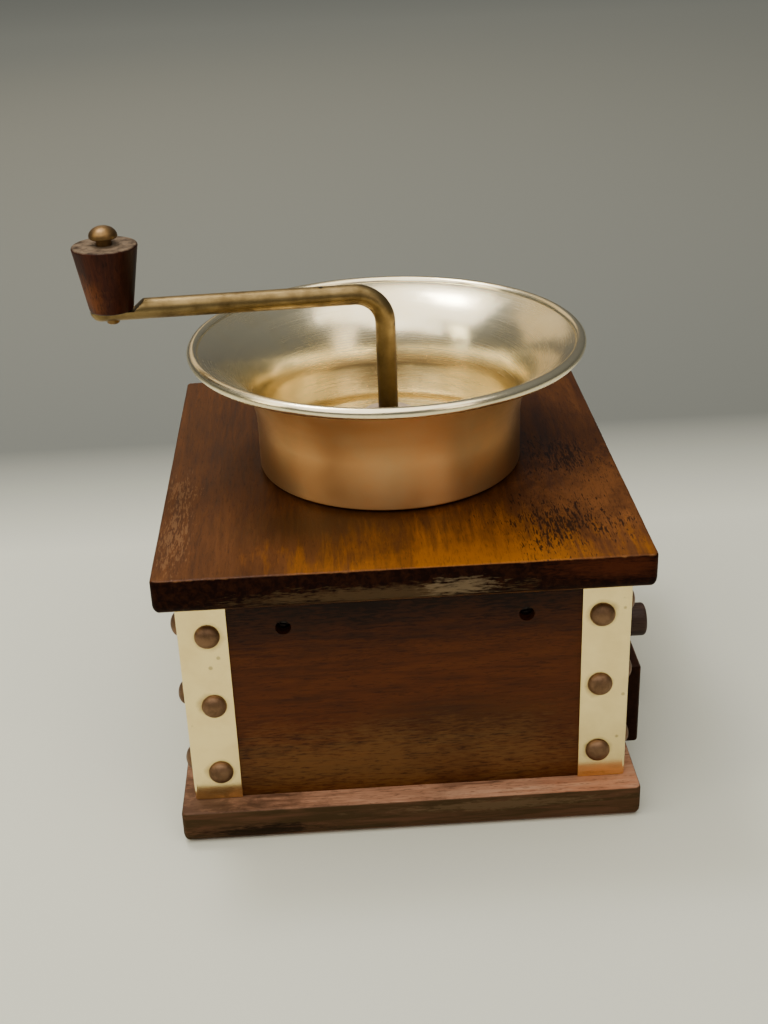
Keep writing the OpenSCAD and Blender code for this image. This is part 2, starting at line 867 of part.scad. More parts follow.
// Half section of the spun bowl: foot ring, raised floor, straight wall, flare and rolled bead
module bowl_section() {
    difference() {
        union() {
            translate([throat_r, bowl_floor_z])
                square([bowl_floor_r - throat_r, bowl_t]);
            translate([bowl_floor_r - bowl_t, bowl_foot_z])
                square([bowl_t, bowl_floor_top - bowl_foot_z]);
            translate([bowl_floor_r - bowl_t, bowl_foot_z])
                square([bowl_r - bowl_floor_r + bowl_t, bowl_t]);
            translate([bowl_r - bowl_t, bowl_foot_z])
                square([bowl_t, flare_z - bowl_foot_z]);
        }
        translate([bowl_floor_r - bowl_t, bowl_floor_top - bowl_t])
            difference() {
                square(2 * bowl_t);
                circle(bowl_t);
            }
    }
    translate([bowl_r + flare_r, flare_z])
        intersection() {
            difference() {
                circle(flare_r + bowl_t);
                circle(flare_r);
            }
            polygon([[0, 0], [-2 * flare_r, 0], [-2 * flare_r, 2 * flare_r],
                [-2 * flare_r * cos(flare_turn), 2 * flare_r * sin(flare_turn)]]);
        }
    translate([bead_x, bead_z])
        circle(bead_r);
}

module hopper_bowl() color(brass_sheet) {
    difference() {
        rotate_extrude($fn = 128)
            bowl_section();
        bridge_screw_holes();
    }
}

// Spider over the throat: three sloping arms on flat feet and a hub for the shaft bush
module bearing_bridge() color(cast_iron) {
    arm_top = hub_top - spider_arm_step;
    arm_low = hub_z + spider_arm_step;
    arm_r = bush_r + spider_arm_step;
    difference() {
        union() {
            translate([0, 0, hub_z])
                cylinder(r = hub_r, h = hub_top - hub_z);
            for (a = bridge_screw_angles)
                rotate([0, 0, a])
                    rotate([90, 0, 0])
                        translate([0, 0, -spider_arm_w / 2])
                            linear_extrude(spider_arm_w)
                                polygon([[arm_r, arm_low], [foot_r0, bowl_floor_top],
                                    [foot_r1, bowl_floor_top], [foot_r1, bowl_floor_top + foot_t],
                                    [foot_r0 + spider_arm_step, bowl_floor_top + foot_t], [arm_r, arm_top]]);
        }
        translate([0, 0, hub_z - past])
            cylinder(r = bush_r, h = hub_top - hub_z + 2 * past);
        bridge_screw_holes();
    }
}

module shaft_bush() color(old_brass) {
    difference() {
        translate([0, 0, hub_z])
            cylinder(r = bush_r, h = bush_top - hub_z);
        translate([0, 0, hub_z - past])
            cylinder(r = rod_r + slack, h = hub_top - hub_z + 2 * past);
    }
}

module bridge_screws() color(old_brass)
    at_bridge_screws()
        pan_screw(wood_screw_head_d, screw_head_t, bridge_screw_d, bridge_screw_l);

// Crank

// One bent rod: shaft, quarter bend and arm, with its end halved to a tang for the knob's pin
module crank_rod() color(old_brass) {
    difference() {
        rotate([0, 0, crank_rest]) {
            translate([0, 0, shaft_end])
                cylinder(r = rod_r, h = arm_z - bend_r - shaft_end);
            crank_arm();
        }
        burr_pin_hole();
    }
}

module crank_arm() {
    translate([-bend_r, 0, arm_z - bend_r])
        rotate([90, 0, 0])
            rotate_extrude(angle = 90)
                translate([bend_r, 0])
                    circle(rod_r);
    difference() {
        union() {
            translate([-bend_r, 0, arm_z])
                rotate([0, -90, 0])
                    cylinder(r = rod_r, h = crank_l + tang_end - rod_r - bend_r);
            translate([-crank_l - tang_end + rod_r, 0, arm_z])
                sphere(rod_r);
        }
        translate([0, rod_d, 0])
            rotate([90, 0, 0])
                linear_extrude(2 * rod_d)
                    polygon([[-crank_l + tang_cut, arm_z], [-crank_l + tang_cut + rod_d, arm_z + rod_d],
                        [-crank_l - rod_d - tang_end, arm_z + rod_d], [-crank_l - rod_d - tang_end, arm_z]]);
        translate([-crank_l, 0, arm_z - rod_d])
            cylinder(r = rivet_r, h = 2 * rod_d);
    }
}

// Place of the knob on the crank arm
module at_knob() {
    rotate([0, 0, crank_rest])
        translate([-crank_l, 0, 0])
            children();
}

// Grip: a truncated cone with eased edges, bored to turn on its pin
module crank_knob() color(dark_walnut) {
    ease = 0.8;
    at_knob()
        translate([0, 0, knob_z])
            rotate_extrude()
                polygon([[pin_r + slack, 0], [knob_foot_r - ease, 0], [knob_foot_r, ease],
                    [knob_top_r, knob_h - ease], [knob_top_r - ease, knob_h], [pin_r + slack, knob_h]]);
}

// Pin riveted into the tang, with a domed head over the knob
module knob_pin() color(old_brass) {
    rim_h = 0.8;
    cap_h = pin_head_h - rim_h;
    cap_r = (pow(pin_head_d / 2, 2) + pow(cap_h, 2)) / (2 * cap_h);
    at_knob() {
        translate([0, 0, arm_z - rod_r - rivet_l])
            cylinder(r = rivet_r, h = rod_r + rivet_l);
        translate([0, 0, arm_z])
            cylinder(r = pin_r, h = pin_head_z - arm_z);
        translate([0, 0, pin_head_z])
            cylinder(d = pin_head_d, h = rim_h);
        intersection() {
            translate([0, 0, pin_head_z + pin_head_h - cap_r])
                sphere(cap_r);
            translate([0, 0, pin_head_z + rim_h])
                cylinder(d = pin_head_d, h = cap_h + past);
        }
    }
}

// Grind adjustment

module thrust_ball() color(steel)
    translate([0, 0, ball_z])
        sphere(ball_r);

// Screw with a cup for the ball at its tip and a fluted head that the fingers turn
module adjusting_screw() color(old_brass) {
    head_flutes = 12;
    flute_r = 1.6;
    difference() {
        union() {
            translate([0, 0, adjuster_head_z])
                cylinder(r = adjuster_head_r, h = adjuster_head_t);
            translate([0, 0, adjuster_head_z])
                cylinder(r = adjuster_r, h = adjuster_top - adjuster_head_z);
        }
        translate([0, 0, adjuster_top - cup_depth])
            cylinder(r = ball_r + slack, h = cup_depth + past);
        for (k = [0 : head_flutes - 1])
            rotate([0, 0, k * 360 / head_flutes])
                translate([adjuster_head_r + flute_r / 2, 0, adjuster_head_z - past])
                    cylinder(r = flute_r, h = adjuster_head_t + 2 * past);
    }
}

module lock_nut() color(steel) {
    translate([0, 0, lock_nut_z])
        difference() {
            cylinder(d = lock_nut_d, h = lock_nut_t, $fn = 6);
            translate([0, 0, -past])
                cylinder(r = adjuster_r, h = lock_nut_t + 2 * past);
        }
}

base_board();
top_board();
front_panel();
back_panel();
left_panel();
right_panel();
front_cleat();
back_cleat();
strip_front_left();
strip_front_right();
strip_back_left();
strip_back_right();
corner_nails();
panel_screws();
base_screws();
cleat_screws();
drawer_runners();
drawer_front();
drawer_side_near();
drawer_side_far();
drawer_back();
drawer_bottom();
drawer_knob();
drawer_knob_screw();
burr_housing();
outer_burr();
lower_bridge();
lower_bridge_screws();
hopper_bowl();
bearing_bridge();
shaft_bush();
bridge_screws();
crank_rod();
inner_burr();
burr_pin();
crank_knob();
knob_pin();
thrust_ball();
adjusting_screw();
lock_nut();
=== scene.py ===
# %% [markdown]
# # A box coffee mill, dressed for its portrait
# The mill is a wooden case with brass corner strips, a flared brass hopper, a bent crank and a
# drawer for the grounds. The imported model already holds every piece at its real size, in metres,
# standing on the plane z = 0. This lesson gives those pieces their finish, and rebuilds the ones
# whose edges, bends and wear a plain solid can't show. Nothing is moved or resized.

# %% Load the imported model
import json
import math

import bmesh
import bpy
from mathutils import Matrix, Vector, noise


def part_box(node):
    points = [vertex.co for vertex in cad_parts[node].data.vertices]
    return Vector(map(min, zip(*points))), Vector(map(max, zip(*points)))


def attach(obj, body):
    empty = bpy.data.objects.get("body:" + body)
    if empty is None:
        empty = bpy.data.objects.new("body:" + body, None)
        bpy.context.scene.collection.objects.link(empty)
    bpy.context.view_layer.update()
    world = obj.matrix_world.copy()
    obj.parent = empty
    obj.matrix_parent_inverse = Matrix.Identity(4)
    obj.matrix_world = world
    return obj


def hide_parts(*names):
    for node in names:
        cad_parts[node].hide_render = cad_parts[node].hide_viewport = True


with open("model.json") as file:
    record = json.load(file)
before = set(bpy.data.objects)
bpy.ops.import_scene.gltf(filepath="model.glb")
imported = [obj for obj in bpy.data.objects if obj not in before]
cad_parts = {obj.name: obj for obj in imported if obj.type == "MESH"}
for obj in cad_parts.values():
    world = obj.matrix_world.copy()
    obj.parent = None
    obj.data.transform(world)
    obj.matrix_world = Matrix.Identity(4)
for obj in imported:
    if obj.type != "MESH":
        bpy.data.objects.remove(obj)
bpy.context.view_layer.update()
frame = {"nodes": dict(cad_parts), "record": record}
nodes = frame["nodes"]
MM = 0.001

# %% [markdown]
# ## Camera
# The photograph was taken from above the front edge, a little left of the middle, with the camera
# tilted a few degrees. Its place and focal length were solved from the straight edges of the case,
# so a rendered pixel and a photographed pixel can be compared directly.

# %% Camera
CAMERA_AT = Vector((-0.02195, -0.53228, 0.35852))
CAMERA_YAW = math.radians(1.991)
CAMERA_PITCH = math.radians(26.526)
CAMERA_ROLL = math.radians(-2.227)
FOCAL_PIXELS = 1420.5
IMAGE_LONG_SIDE = 1024
SENSOR_MM = 36.0
NEAREST = 0.01


def put(name, data):
    thing = bpy.data.objects.new(name, data)
    bpy.context.scene.collection.objects.link(thing)
    return thing


def set_up_camera():
    forward = Vector((math.sin(CAMERA_YAW) * math.cos(CAMERA_PITCH),
                      math.cos(CAMERA_YAW) * math.cos(CAMERA_PITCH), -math.sin(CAMERA_PITCH)))
    level = Vector((math.cos(CAMERA_YAW), -math.sin(CAMERA_YAW), 0.0))
    upright = level.cross(forward)
    right = math.cos(CAMERA_ROLL) * level + math.sin(CAMERA_ROLL) * upright
    up = math.cos(CAMERA_ROLL) * upright - math.sin(CAMERA_ROLL) * level
    lens = bpy.data.cameras.new("photo_camera")
    lens.sensor_width = SENSOR_MM
    lens.lens = FOCAL_PIXELS * SENSOR_MM / IMAGE_LONG_SIDE
    lens.clip_start = NEAREST
    camera = put("photo_camera", lens)
    turn = Matrix((right, up, -forward)).transposed().to_4x4()
    camera.matrix_world = Matrix.Translation(CAMERA_AT) @ turn
    bpy.context.scene.camera = camera
    print("lens in mm:", round(lens.lens, 2))


set_up_camera()

# %% [markdown]
# ## Helpers for materials
# Colours are picked as sRGB hex values and turned into the linear light that shaders work in. One
# function adds a node, sets its properties, and fills each input with a value or a link; a node
# given as a value is linked by its first output. The last paints in coats, as a finisher does: each
# coat covers what lies below it where a pattern is strong. Patterns read Object coordinates, which
# are metres here.

# %% Material helpers
MATH, VECTOR_MATH, MAP_RANGE = "ShaderNodeMath", "ShaderNodeVectorMath", "ShaderNodeMapRange"
COMBINE, SEPARATE = "ShaderNodeCombineXYZ", "ShaderNodeSeparateXYZ"


def linear(hex_colour):
    channels = [int(hex_colour[i:i + 2], 16) / 255 for i in (1, 3, 5)]
    return tuple(c / 12.92 if c <= 0.04045 else ((c + 0.055) / 1.055) ** 2.4 for c in channels) + (1.0,)


def add(tree, kind, inputs=None, operation=None, **settings):
    made = tree.nodes.new(kind)
    if operation:
        made.operation = operation
    for key, value in settings.items():
        setattr(made, key, value)
    for name, value in (inputs or {}).items():
        if isinstance(value, bpy.types.Node):
            value = value.outputs[0]
        if isinstance(value, bpy.types.NodeSocket):
            tree.links.new(value, made.inputs[name])
        else:
            made.inputs[name].default_value = value
    return made


def new_material(name):
    material = bpy.data.materials.new(name)
    material.use_nodes = True
    material.node_tree.nodes.clear()
    return material, material.node_tree


def coats(tree, colour, layers):
    """Each layer is (pattern, where the coat starts, where it is full, most cover, colour of the coat)."""
    for pattern, start, full, most, coat in layers:
        cover = add(tree, MAP_RANGE, {
            "Value": pattern, "From Min": start, "From Max": full, "To Max": most})
        mix = {"Factor": cover, "A": colour, "B": coat}
        colour = add(tree, "ShaderNodeMix", mix, data_type="RGBA").outputs["Result"]
    return colour


# %% [markdown]
# ## Stained hardwood
# The case is an open-pored hardwood, planed, stained brown and lacquered long ago. The eye reads
# broad bands along the grain, thin growth lines, short dark pores and a blotchy stain. Each is a
# noise stretched along the grain, sized in millimetres; pores are about twice as wide as real ones,
# or they would vanish at this distance. A picture of wood could be wrapped round each board, but
# noise has a real size, never repeats, and runs through the edges as true grain does. Patches have a
# place, half sizes and a colour, and fade out, end in scratches or break into flecks; most are left
# by hands and knocks, and a few are painted shade and painted light. A "wear" attribute on the mesh
# lets paler wood show on rubbed arrises. The tired lacquer reflects little, and sawn edges less.

# %% Stained hardwood
BAND_MM, LINE_MM, PORE_MM, BLOTCH_MM, CHIP_MM, SCUFF_MM = 15.0, 2.6, 0.65, 30.0, 4.0, 0.8
GRAIN_STRETCH, PORE_STRETCH, SCUFF_STRETCH = 11.0, 7.0, 6.0
ALONG_X, ALONG_Y, ALONG_Z = 0, 1, 2
SOFT, SCUFFED, FLECKED = (2.2, 1.5), (2.0, 1.6), (1.46, 1.34)
RAGGED = 1.6


def stained_wood(name, tones, along, worn, edge, edge_faces=(0, 0, 0), spread=0.34, blotch=0.3, gloss=0.45,
                 lustre=0.12, pores=0.7, patches=(), edge_patches=()):
    """tones run from dark to pale, along is the grain's axis, edge_faces the axes that the edges face along.

    A patch is (middle in metres, half sizes in metres, colour, most cover, what breaks it up, how sharply).
    """
    material, tree = new_material(name)
    where = add(tree, "ShaderNodeTexCoord")
    place = where.outputs["Object"]
    dark, middle, pale = (linear(tone) for tone in tones)
    pore = tuple(0.5 * channel for channel in dark[:3]) + (1.0,)
    grain = {}
    for label, across_mm, axis, stretch, detail in (
            ("bands", BAND_MM, along, GRAIN_STRETCH, 4.0), ("lines", LINE_MM, along, GRAIN_STRETCH, 3.0),
            ("pores", PORE_MM, along, PORE_STRETCH, 2.0), ("scuffs", SCUFF_MM, ALONG_X, SCUFF_STRETCH, 3.0),
            ("blotches", BLOTCH_MM, along, 1.0, 7.0), ("chips", CHIP_MM, along, 1.6, 7.0)):
        scale = [1 / (across_mm * MM)] * 3
        scale[axis] /= stretch
        path = add(tree, VECTOR_MATH, {0: place, 1: scale}, "MULTIPLY")
        grain[label] = add(tree, "ShaderNodeTexNoise", {
            "Vector": path, "Scale": 1.0, "Detail": detail, "Roughness": 0.65,
            "Distortion": 0.4}).outputs["Fac"]

    def patched(colour, spots):
        for centre, half_sizes, tint, cover, breakup, (start, full) in spots:
            off = add(tree, VECTOR_MATH, {0: place, 1: centre}, "SUBTRACT")
            share = add(tree, VECTOR_MATH, {0: off, 1: half_sizes}, "DIVIDE")
            far = add(tree, VECTOR_MATH, {0: share}, "LENGTH")
            ragged = add(tree, MATH, {0: grain[breakup], 1: RAGGED, 2: grain["blotches"]}, "MULTIPLY_ADD")
            reach = add(tree, MATH, {0: ragged, 1: far.outputs["Value"]}, "ADD")
            colour = coats(tree, colour, [(reach, start, full, cover, linear(tint))])
        return colour

    figure = add(tree, MATH, {0: grain["bands"], 1: grain["lines"]}, "ADD")
    colour = coats(tree, dark, [(figure, 1 - spread, 1.0, 1.0, middle), (figure, 1.0, 1 + spread, 1.0, pale)])
    colour = coats(tree, patched(colour, patches), [
        (grain["blotches"], 0.5, 0.72, blotch, dark), (grain["pores"], 0.54, 0.7, pores, pore)])
    facing = add(tree, VECTOR_MATH, {0: where.outputs["Normal"]}, "ABSOLUTE")
    on_edge = add(tree, VECTOR_MATH, {0: facing, 1: edge_faces}, "DOT_PRODUCT")
    edge_colour = coats(tree, linear(edge), [(grain["lines"], 0.42, 0.66, 0.7, dark)])
    rubbed = add(tree, "ShaderNodeAttribute", attribute_name="wear")
    bare = add(tree, MATH, {0: rubbed.outputs["Fac"], 1: grain["chips"]}, "MULTIPLY")
    colour = coats(tree, colour, [
        (on_edge.outputs["Value"], 0.55, 0.85, 1.0, patched(edge_colour, edge_patches)),
        (bare, 0.36, 0.62, 0.75, linear(worn))])
    matt = add(tree, MAP_RANGE, {
        "Value": figure, "From Min": 0.7, "From Max": 1.3, "To Min": gloss - 0.06, "To Max": gloss + 0.1})
    shine = lustre
    if any(edge_faces):
        shine = add(tree, MAP_RANGE, {
            "Value": on_edge.outputs["Value"], "From Min": 0.5, "From Max": 0.9, "To Min": lustre,
            "To Max": 0.2 * lustre})
    relief = add(tree, MATH, {0: grain["pores"], 1: -0.8, 2: grain["lines"]}, "MULTIPLY_ADD")
    bump = add(tree, "ShaderNodeBump", {"Height": relief, "Strength": 0.3, "Distance": 0.2 * MM})
    surface = add(tree, "ShaderNodeBsdfPrincipled", {
        "Base Color": colour, "Roughness": matt, "Normal": bump, "IOR": 1.5, "Specular IOR Level": shine})
    add(tree, "ShaderNodeOutputMaterial", {"Surface": surface})
    return material


# %% [markdown]
# ## The mill's woods
# The top board has had the most light and hands: amber in front, flecked almost black where it was
# wet, grey where its front edge was knocked. The panels kept their even brown, and the front panel
# carries a painted shadow along its top, under the board's overhang, and painted light on a band low
# down. The base board lost its lacquer to wiping; its ledge is also painted paler and its upright
# edges darker, as painted light and shade from above. The knob is dark from handling. The drawer's
# sides and the runners were never stained. Each could have a tree of its own, but with one function
# the woods stay related. The places of the patches are measured from the imported boards.

# %% The mill's woods
WOOD_TOP_Z, BOARD_FRONT_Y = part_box("top_board")[1].z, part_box("top_board")[0].y
LEDGE_Z, BASE_FRONT_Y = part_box("base_board")[1].z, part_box("base_board")[0].y
PANEL_FRONT_Y, PANEL_TOP_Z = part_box("front_panel")[0].y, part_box("front_panel")[1].z
KNOB_AT = (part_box("crank_knob")[0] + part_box("crank_knob")[1]) / 2
UPRIGHT_FACES, LEVEL_FACES = (1, 1, 0), (0, 0, 1)
top_wood = stained_wood(
    "lacquered_hardwood_top", ("#2e160a", "#4a290f", "#5e3717"), ALONG_Y, worn="#8a5a30", edge="#140603",
    edge_faces=UPRIGHT_FACES, spread=0.42, blotch=0.3, gloss=0.4, lustre=0.13, pores=0.45,
    patches=[((0.025, -0.092, WOOD_TOP_Z), (0.085, 0.045, 0.02), "#8e5310", 0.8, "lines", SOFT),
             ((0.076, -0.035, WOOD_TOP_Z), (0.03, 0.05, 0.02), "#835026", 0.6, "chips", SOFT),
             ((0.06, -0.07, WOOD_TOP_Z), (0.08, 0.07, 0.03), "#160903", 0.9, "pores", FLECKED),
             ((0.07, -0.01, WOOD_TOP_Z), (0.06, 0.07, 0.03), "#1a0b04", 0.85, "pores", FLECKED),
             ((-0.03, -0.058, WOOD_TOP_Z), (0.045, 0.02, 0.02), "#2e200c", 0.5, "pores", SOFT),
             ((-0.084, -0.05, WOOD_TOP_Z), (0.02, 0.14, 0.03), "#7d5a3a", 0.4, "pores", FLECKED)],
    edge_patches=[((-0.01, BOARD_FRONT_Y, WOOD_TOP_Z - 0.01), (0.075, 0.02, 0.006), "#5e4a32", 0.5,
                   "scuffs", SCUFFED),
                  ((0.02, BOARD_FRONT_Y, WOOD_TOP_Z - 0.009), (0.02, 0.02, 0.007), "#74624a", 0.75,
                   "scuffs", SCUFFED),
                  ((0.075, BOARD_FRONT_Y, WOOD_TOP_Z - 0.004), (0.03, 0.02, 0.006), "#4a2210", 0.7,
                   "scuffs", SOFT)])
PANEL_LOOK = dict(
    tones=("#261204", "#4d2408", "#5d310d"), worn="#7d4a20", edge="#2a1609", spread=0.42, pores=0.45)
panel_wood = stained_wood(
    "lacquered_hardwood_panel", along=ALONG_X, **PANEL_LOOK,
    # Painted shadow: the first patch darkens the panel's top under the board's overhang. Painted light: the
    # third is a paler band low on the panel.
    patches=[((0.0, PANEL_FRONT_Y, PANEL_TOP_Z), (0.3, 0.01, 0.03), "#140602", 0.95, "pores", SOFT),
             ((0.02, PANEL_FRONT_Y, 0.042), (0.06, 0.01, 0.018), "#2e1f0c", 0.5, "pores", SOFT),
             ((-0.01, PANEL_FRONT_Y, 0.026), (0.12, 0.01, 0.022), "#6e4a22", 0.6, "pores", SOFT)])
side_wood = stained_wood("lacquered_hardwood_side", along=ALONG_Y, **PANEL_LOOK)
# Painted light and shade beside real wear: the pale tones are partly wiped lacquer and partly painted light
# on the up-facing ledge, and the dark edge colour on the upright faces is partly painted shade.
base_wood = stained_wood(
    "worn_hardwood_base", ("#5c3e2c", "#ab7b5e", "#c69c7d"), ALONG_X, worn="#6b4a33", edge="#3d2e1c",
    edge_faces=UPRIGHT_FACES, blotch=0.45, gloss=0.55,
    patches=[((0.075, BASE_FRONT_Y, LEDGE_Z), (0.035, 0.02, 0.02), "#a8603a", 0.4, "chips", SOFT),
             ((-0.085, BASE_FRONT_Y, LEDGE_Z), (0.06, 0.06, 0.04), "#3d2a1c", 0.85, "chips", SOFT)],
    edge_patches=[((0.03, BASE_FRONT_Y, LEDGE_Z - 0.004), (0.07, 0.02, 0.004), "#5e4a34", 0.7, "scuffs",
                   SCUFFED),
                  ((-0.06, BASE_FRONT_Y, 0.004), (0.04, 0.02, 0.006), "#17110b", 0.8, "scuffs", SCUFFED)])
drawer_wood = stained_wood("dark_hardwood_drawer", ("#160a04", "#2b150b", "#3b2110"), ALONG_Y, worn="#8a4526",
                           edge="#23120a", edge_faces=(0, 1, 0))
knob_wood = stained_wood(
    "turned_hardwood_knob", ("#180702", "#321308", "#4a210d"), ALONG_Z, worn="#7d6a56", edge="#3f342b",
    edge_faces=LEVEL_FACES, gloss=0.36, lustre=0.1,
    patches=[(KNOB_AT + Vector((-0.008, -0.006, -0.006)), (0.011,) * 3, "#6b3814", 0.8, "chips", SOFT),
             (KNOB_AT + Vector((0.011, -0.004, 0.0)), (0.009, 0.012, 0.02), "#160502", 0.8, "pores", SOFT)])
peg_wood = stained_wood("turned_hardwood_peg", ("#2b1c17", "#42312a", "#564238"), ALONG_X, worn="#6b5747",
                        edge="#42312a")
inner_wood = stained_wood("planed_softwood", ("#8a6640", "#ab8353", "#bf9a67"), ALONG_X, worn="#c9a877",
                          edge="#8f6a41", spread=0.42, blotch=0.12, gloss=0.6)
print("woods:", [m.name for m in bpy.data.materials if "wood" in m.name])

# %% [markdown]
# ## Brass, bronze, iron and steel
# A metal's base colour is the tint of its reflection, and its wear is mostly a change of roughness.
# Spun brass is polished in rings round its axis, so its scratches follow radius and height only and
# draw a reflection into upright streaks, while faint dents make it swim. Aged brass carries brown
# patina in clouds and a few dark specks. Each metal could have a tree of its own, but they differ
# only in tints and sizes, so one function serves them all.

# %% Metals
SPECK_MM = 9


def aged_metal(name, bright, dull, roughness, cloud_mm, patina, scratch_mm=0.5, scratch=0.1, specks=0.0,
               streaks=0.0, dents_mm=0.0, metallic=1.0, tarnish_and_shade=None, tarnish_and_shade_tone=None):
    """patina is how much of the dull colour the clouds bring.

    streaks is how far spun rings draw out a reflection, and the last two arguments give a coat's pattern,
    limits and tone: tarnish round the nails, a darkening down the rod, and painted shade on the bowl's sides.
    """
    material, tree = new_material(name)
    place = add(tree, "ShaderNodeTexCoord").outputs["Object"]
    rings = place
    shine = {}
    if streaks:
        round_axis = add(tree, VECTOR_MATH, {0: (0, 0, 1), 1: place}, "CROSS_PRODUCT")
        shine = {"Anisotropic": streaks, "Anisotropic Rotation": 0.25, "Tangent": round_axis}
        flat = add(tree, VECTOR_MATH, {0: place, 1: (1, 1, 0)}, "MULTIPLY")
        radius = add(tree, VECTOR_MATH, {0: flat}, "LENGTH")
        height = add(tree, SEPARATE, {"Vector": place})
        rings = add(tree, COMBINE, {"X": radius.outputs["Value"], "Z": height.outputs["Z"]})
    marks = {}
    for label, path, size_mm, detail in (
            ("clouds", place, cloud_mm, 6.0), ("scratches", rings, scratch_mm, 4.0),
            ("dents", place, dents_mm, 1.0)):
        if not size_mm:
            continue
        marks[label] = add(tree, "ShaderNodeTexNoise", {
            "Vector": path, "Scale": 1 / (size_mm * MM), "Detail": detail,
            "Roughness": 0.62}).outputs["Fac"]
    colour = coats(tree, linear(bright), [(marks["clouds"], 0.42, 0.7, patina, linear(dull))])
    smears = add(tree, MATH, {0: marks["clouds"], 1: marks["scratches"]}, "ADD")
    rough = add(tree, MAP_RANGE, {
        "Value": smears, "From Min": 0.6, "From Max": 1.4, "To Min": max(roughness - 0.08, 0.04),
        "To Max": roughness + 0.12})
    if tarnish_and_shade:
        colour = coats(tree, colour, [(*tarnish_and_shade(tree, place, marks["clouds"]), linear(tarnish_and_shade_tone))])
    if specks:
        dots = add(tree, "ShaderNodeTexVoronoi", {
            "Vector": place, "Scale": 1 / (SPECK_MM * MM), "Randomness": 1.0})
        colour = coats(tree, colour, [(dots.outputs["Distance"], 0.11, 0.07, specks, linear("#1c120a"))])
    bump = add(tree, "ShaderNodeBump", {
        "Height": marks["scratches"], "Strength": scratch, "Distance": 0.1 * MM})
    if dents_mm:
        bump = add(tree, "ShaderNodeBump", {
            "Height": marks["dents"], "Strength": 0.25, "Distance": 0.4 * MM, "Normal": bump})
    surface = add(tree, "ShaderNodeBsdfPrincipled", {
        "Base Color": colour, "Metallic": metallic, "Roughness": rough, "Normal": bump, **shine})
    add(tree, "ShaderNodeOutputMaterial", {"Surface": surface})
    return material


# %% [markdown]
# ## Where the brass has tarnished, and where shade is painted on it
# A cloth can't reach close to a nail's head, and the brass turns brown there. The first function
# folds a strip's height into one nail's spacing and measures the distance from that nail, made
# ragged by the clouds. The second darkens the crank's rod downwards, into the hopper. The third
# paints shade on the bowl's outside, darker towards its left and right sides. Each gives its
# pattern and limits for one coat. These coats could be painted on the meshes, but a distance worked
# out in the shader stays sharp at any size.

# %% Where the brass has tarnished, and painted shade
NAIL_HEAD_D, NAIL_HEAD_H, NAIL_INSET = 9.5 * MM, 3.2 * MM, 11 * MM
NAIL_FIRST, NAIL_LAST_DROP = 12.5 * MM, 16.5 * MM
STRIP_LOW, STRIP_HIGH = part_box("strip_front_left")
NAIL_STEP = (STRIP_HIGH.z - STRIP_LOW.z - NAIL_FIRST - NAIL_LAST_DROP) / 2
NAIL_COLUMNS = (abs(STRIP_LOW.x) - NAIL_INSET, abs(STRIP_LOW.y) - NAIL_INSET, 0.0)
ROD_BRIGHT_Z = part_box("crank_rod")[1].z - 20 * MM
ROD_FADE = 40 * MM


def nail_halo(tree, place, clouds):
    side = add(tree, VECTOR_MATH, {0: place}, "ABSOLUTE")
    column = add(tree, VECTOR_MATH, {0: side, 1: NAIL_COLUMNS}, "SUBTRACT")
    apart = add(tree, VECTOR_MATH, {0: column}, "ABSOLUTE")
    xyz = add(tree, SEPARATE, {"Vector": apart})
    across = add(tree, MATH, {0: xyz.outputs["X"], 1: xyz.outputs["Y"]}, "MINIMUM")
    over = add(tree, MATH, {0: xyz.outputs["Z"], 1: STRIP_LOW.z + NAIL_FIRST}, "SUBTRACT")
    along = add(tree, MATH, {0: over, 1: NAIL_STEP / 2}, "PINGPONG")
    gap = add(tree, COMBINE, {"X": across, "Y": along})
    reach = add(tree, VECTOR_MATH, {0: gap}, "LENGTH")
    ragged = add(tree, MATH, {0: clouds, 1: 8 * MM, 2: reach.outputs["Value"]}, "MULTIPLY_ADD")
    return ragged, NAIL_HEAD_D / 2 + 5.5 * MM, NAIL_HEAD_D / 2 + 2.5 * MM, 0.85


# The rod is coloured darker the lower it reaches into the hopper.
def rod_darker_downwards(tree, place, clouds):
    height = add(tree, SEPARATE, {"Vector": place})
    uneven = add(tree, MATH, {0: clouds, 1: 0.5 * ROD_FADE, 2: height.outputs["Z"]}, "MULTIPLY_ADD")
    return uneven, ROD_BRIGHT_Z + 0.25 * ROD_FADE, ROD_BRIGHT_Z - 0.75 * ROD_FADE, 0.9


# Painted shade: the bowl's outside is coloured darker towards its left and right sides.
SIDE_SHADE_FROM, SIDE_SHADE_TO, SIDE_SHADE_SHIFT = 32 * MM, 56 * MM, 3 * MM


def bowl_side_shade(tree, place, clouds):
    across = add(tree, SEPARATE, {"Vector": place})
    shifted = add(tree, MATH, {0: across.outputs["X"], 1: SIDE_SHADE_SHIFT}, "ADD")
    apart = add(tree, MATH, {0: shifted}, "ABSOLUTE")
    uneven = add(tree, MATH, {0: clouds, 1: 14 * MM, 2: apart}, "MULTIPLY_ADD")
    return uneven, SIDE_SHADE_FROM + 7 * MM, SIDE_SHADE_TO + 7 * MM, 0.8


# %% [markdown]
# ## The mill's metals
# Polished brass shows the room, hazed brass only its light and dark, and bronze, iron and browned
# steel little more than their own tint. The step from one to the next is made with roughness, and
# the metal's tint is taken from the object.

# %% The mill's metals
# Spun and polished: long soft reflections with fine rings. Outside, an old lacquer has gone hazy,
# so that the brass is rougher and warmer there, and scatters a little light. Its outside is also
# painted darker towards its left and right sides, a painted shade.
bowl_brass = aged_metal("spun_polished_brass", "#f6e8c2", "#e6cf96", 0.22, 30, 0.6, scratch=0.05, streaks=0.4,
                        dents_mm=11)
hazed_brass = aged_metal("spun_hazed_brass", "#f8bb76", "#e6d09c", 0.36, 30, 0.4, scratch=0.05, streaks=0.8,
                         dents_mm=11, metallic=0.88, tarnish_and_shade=bowl_side_shade, tarnish_and_shade_tone="#7a4c1e")
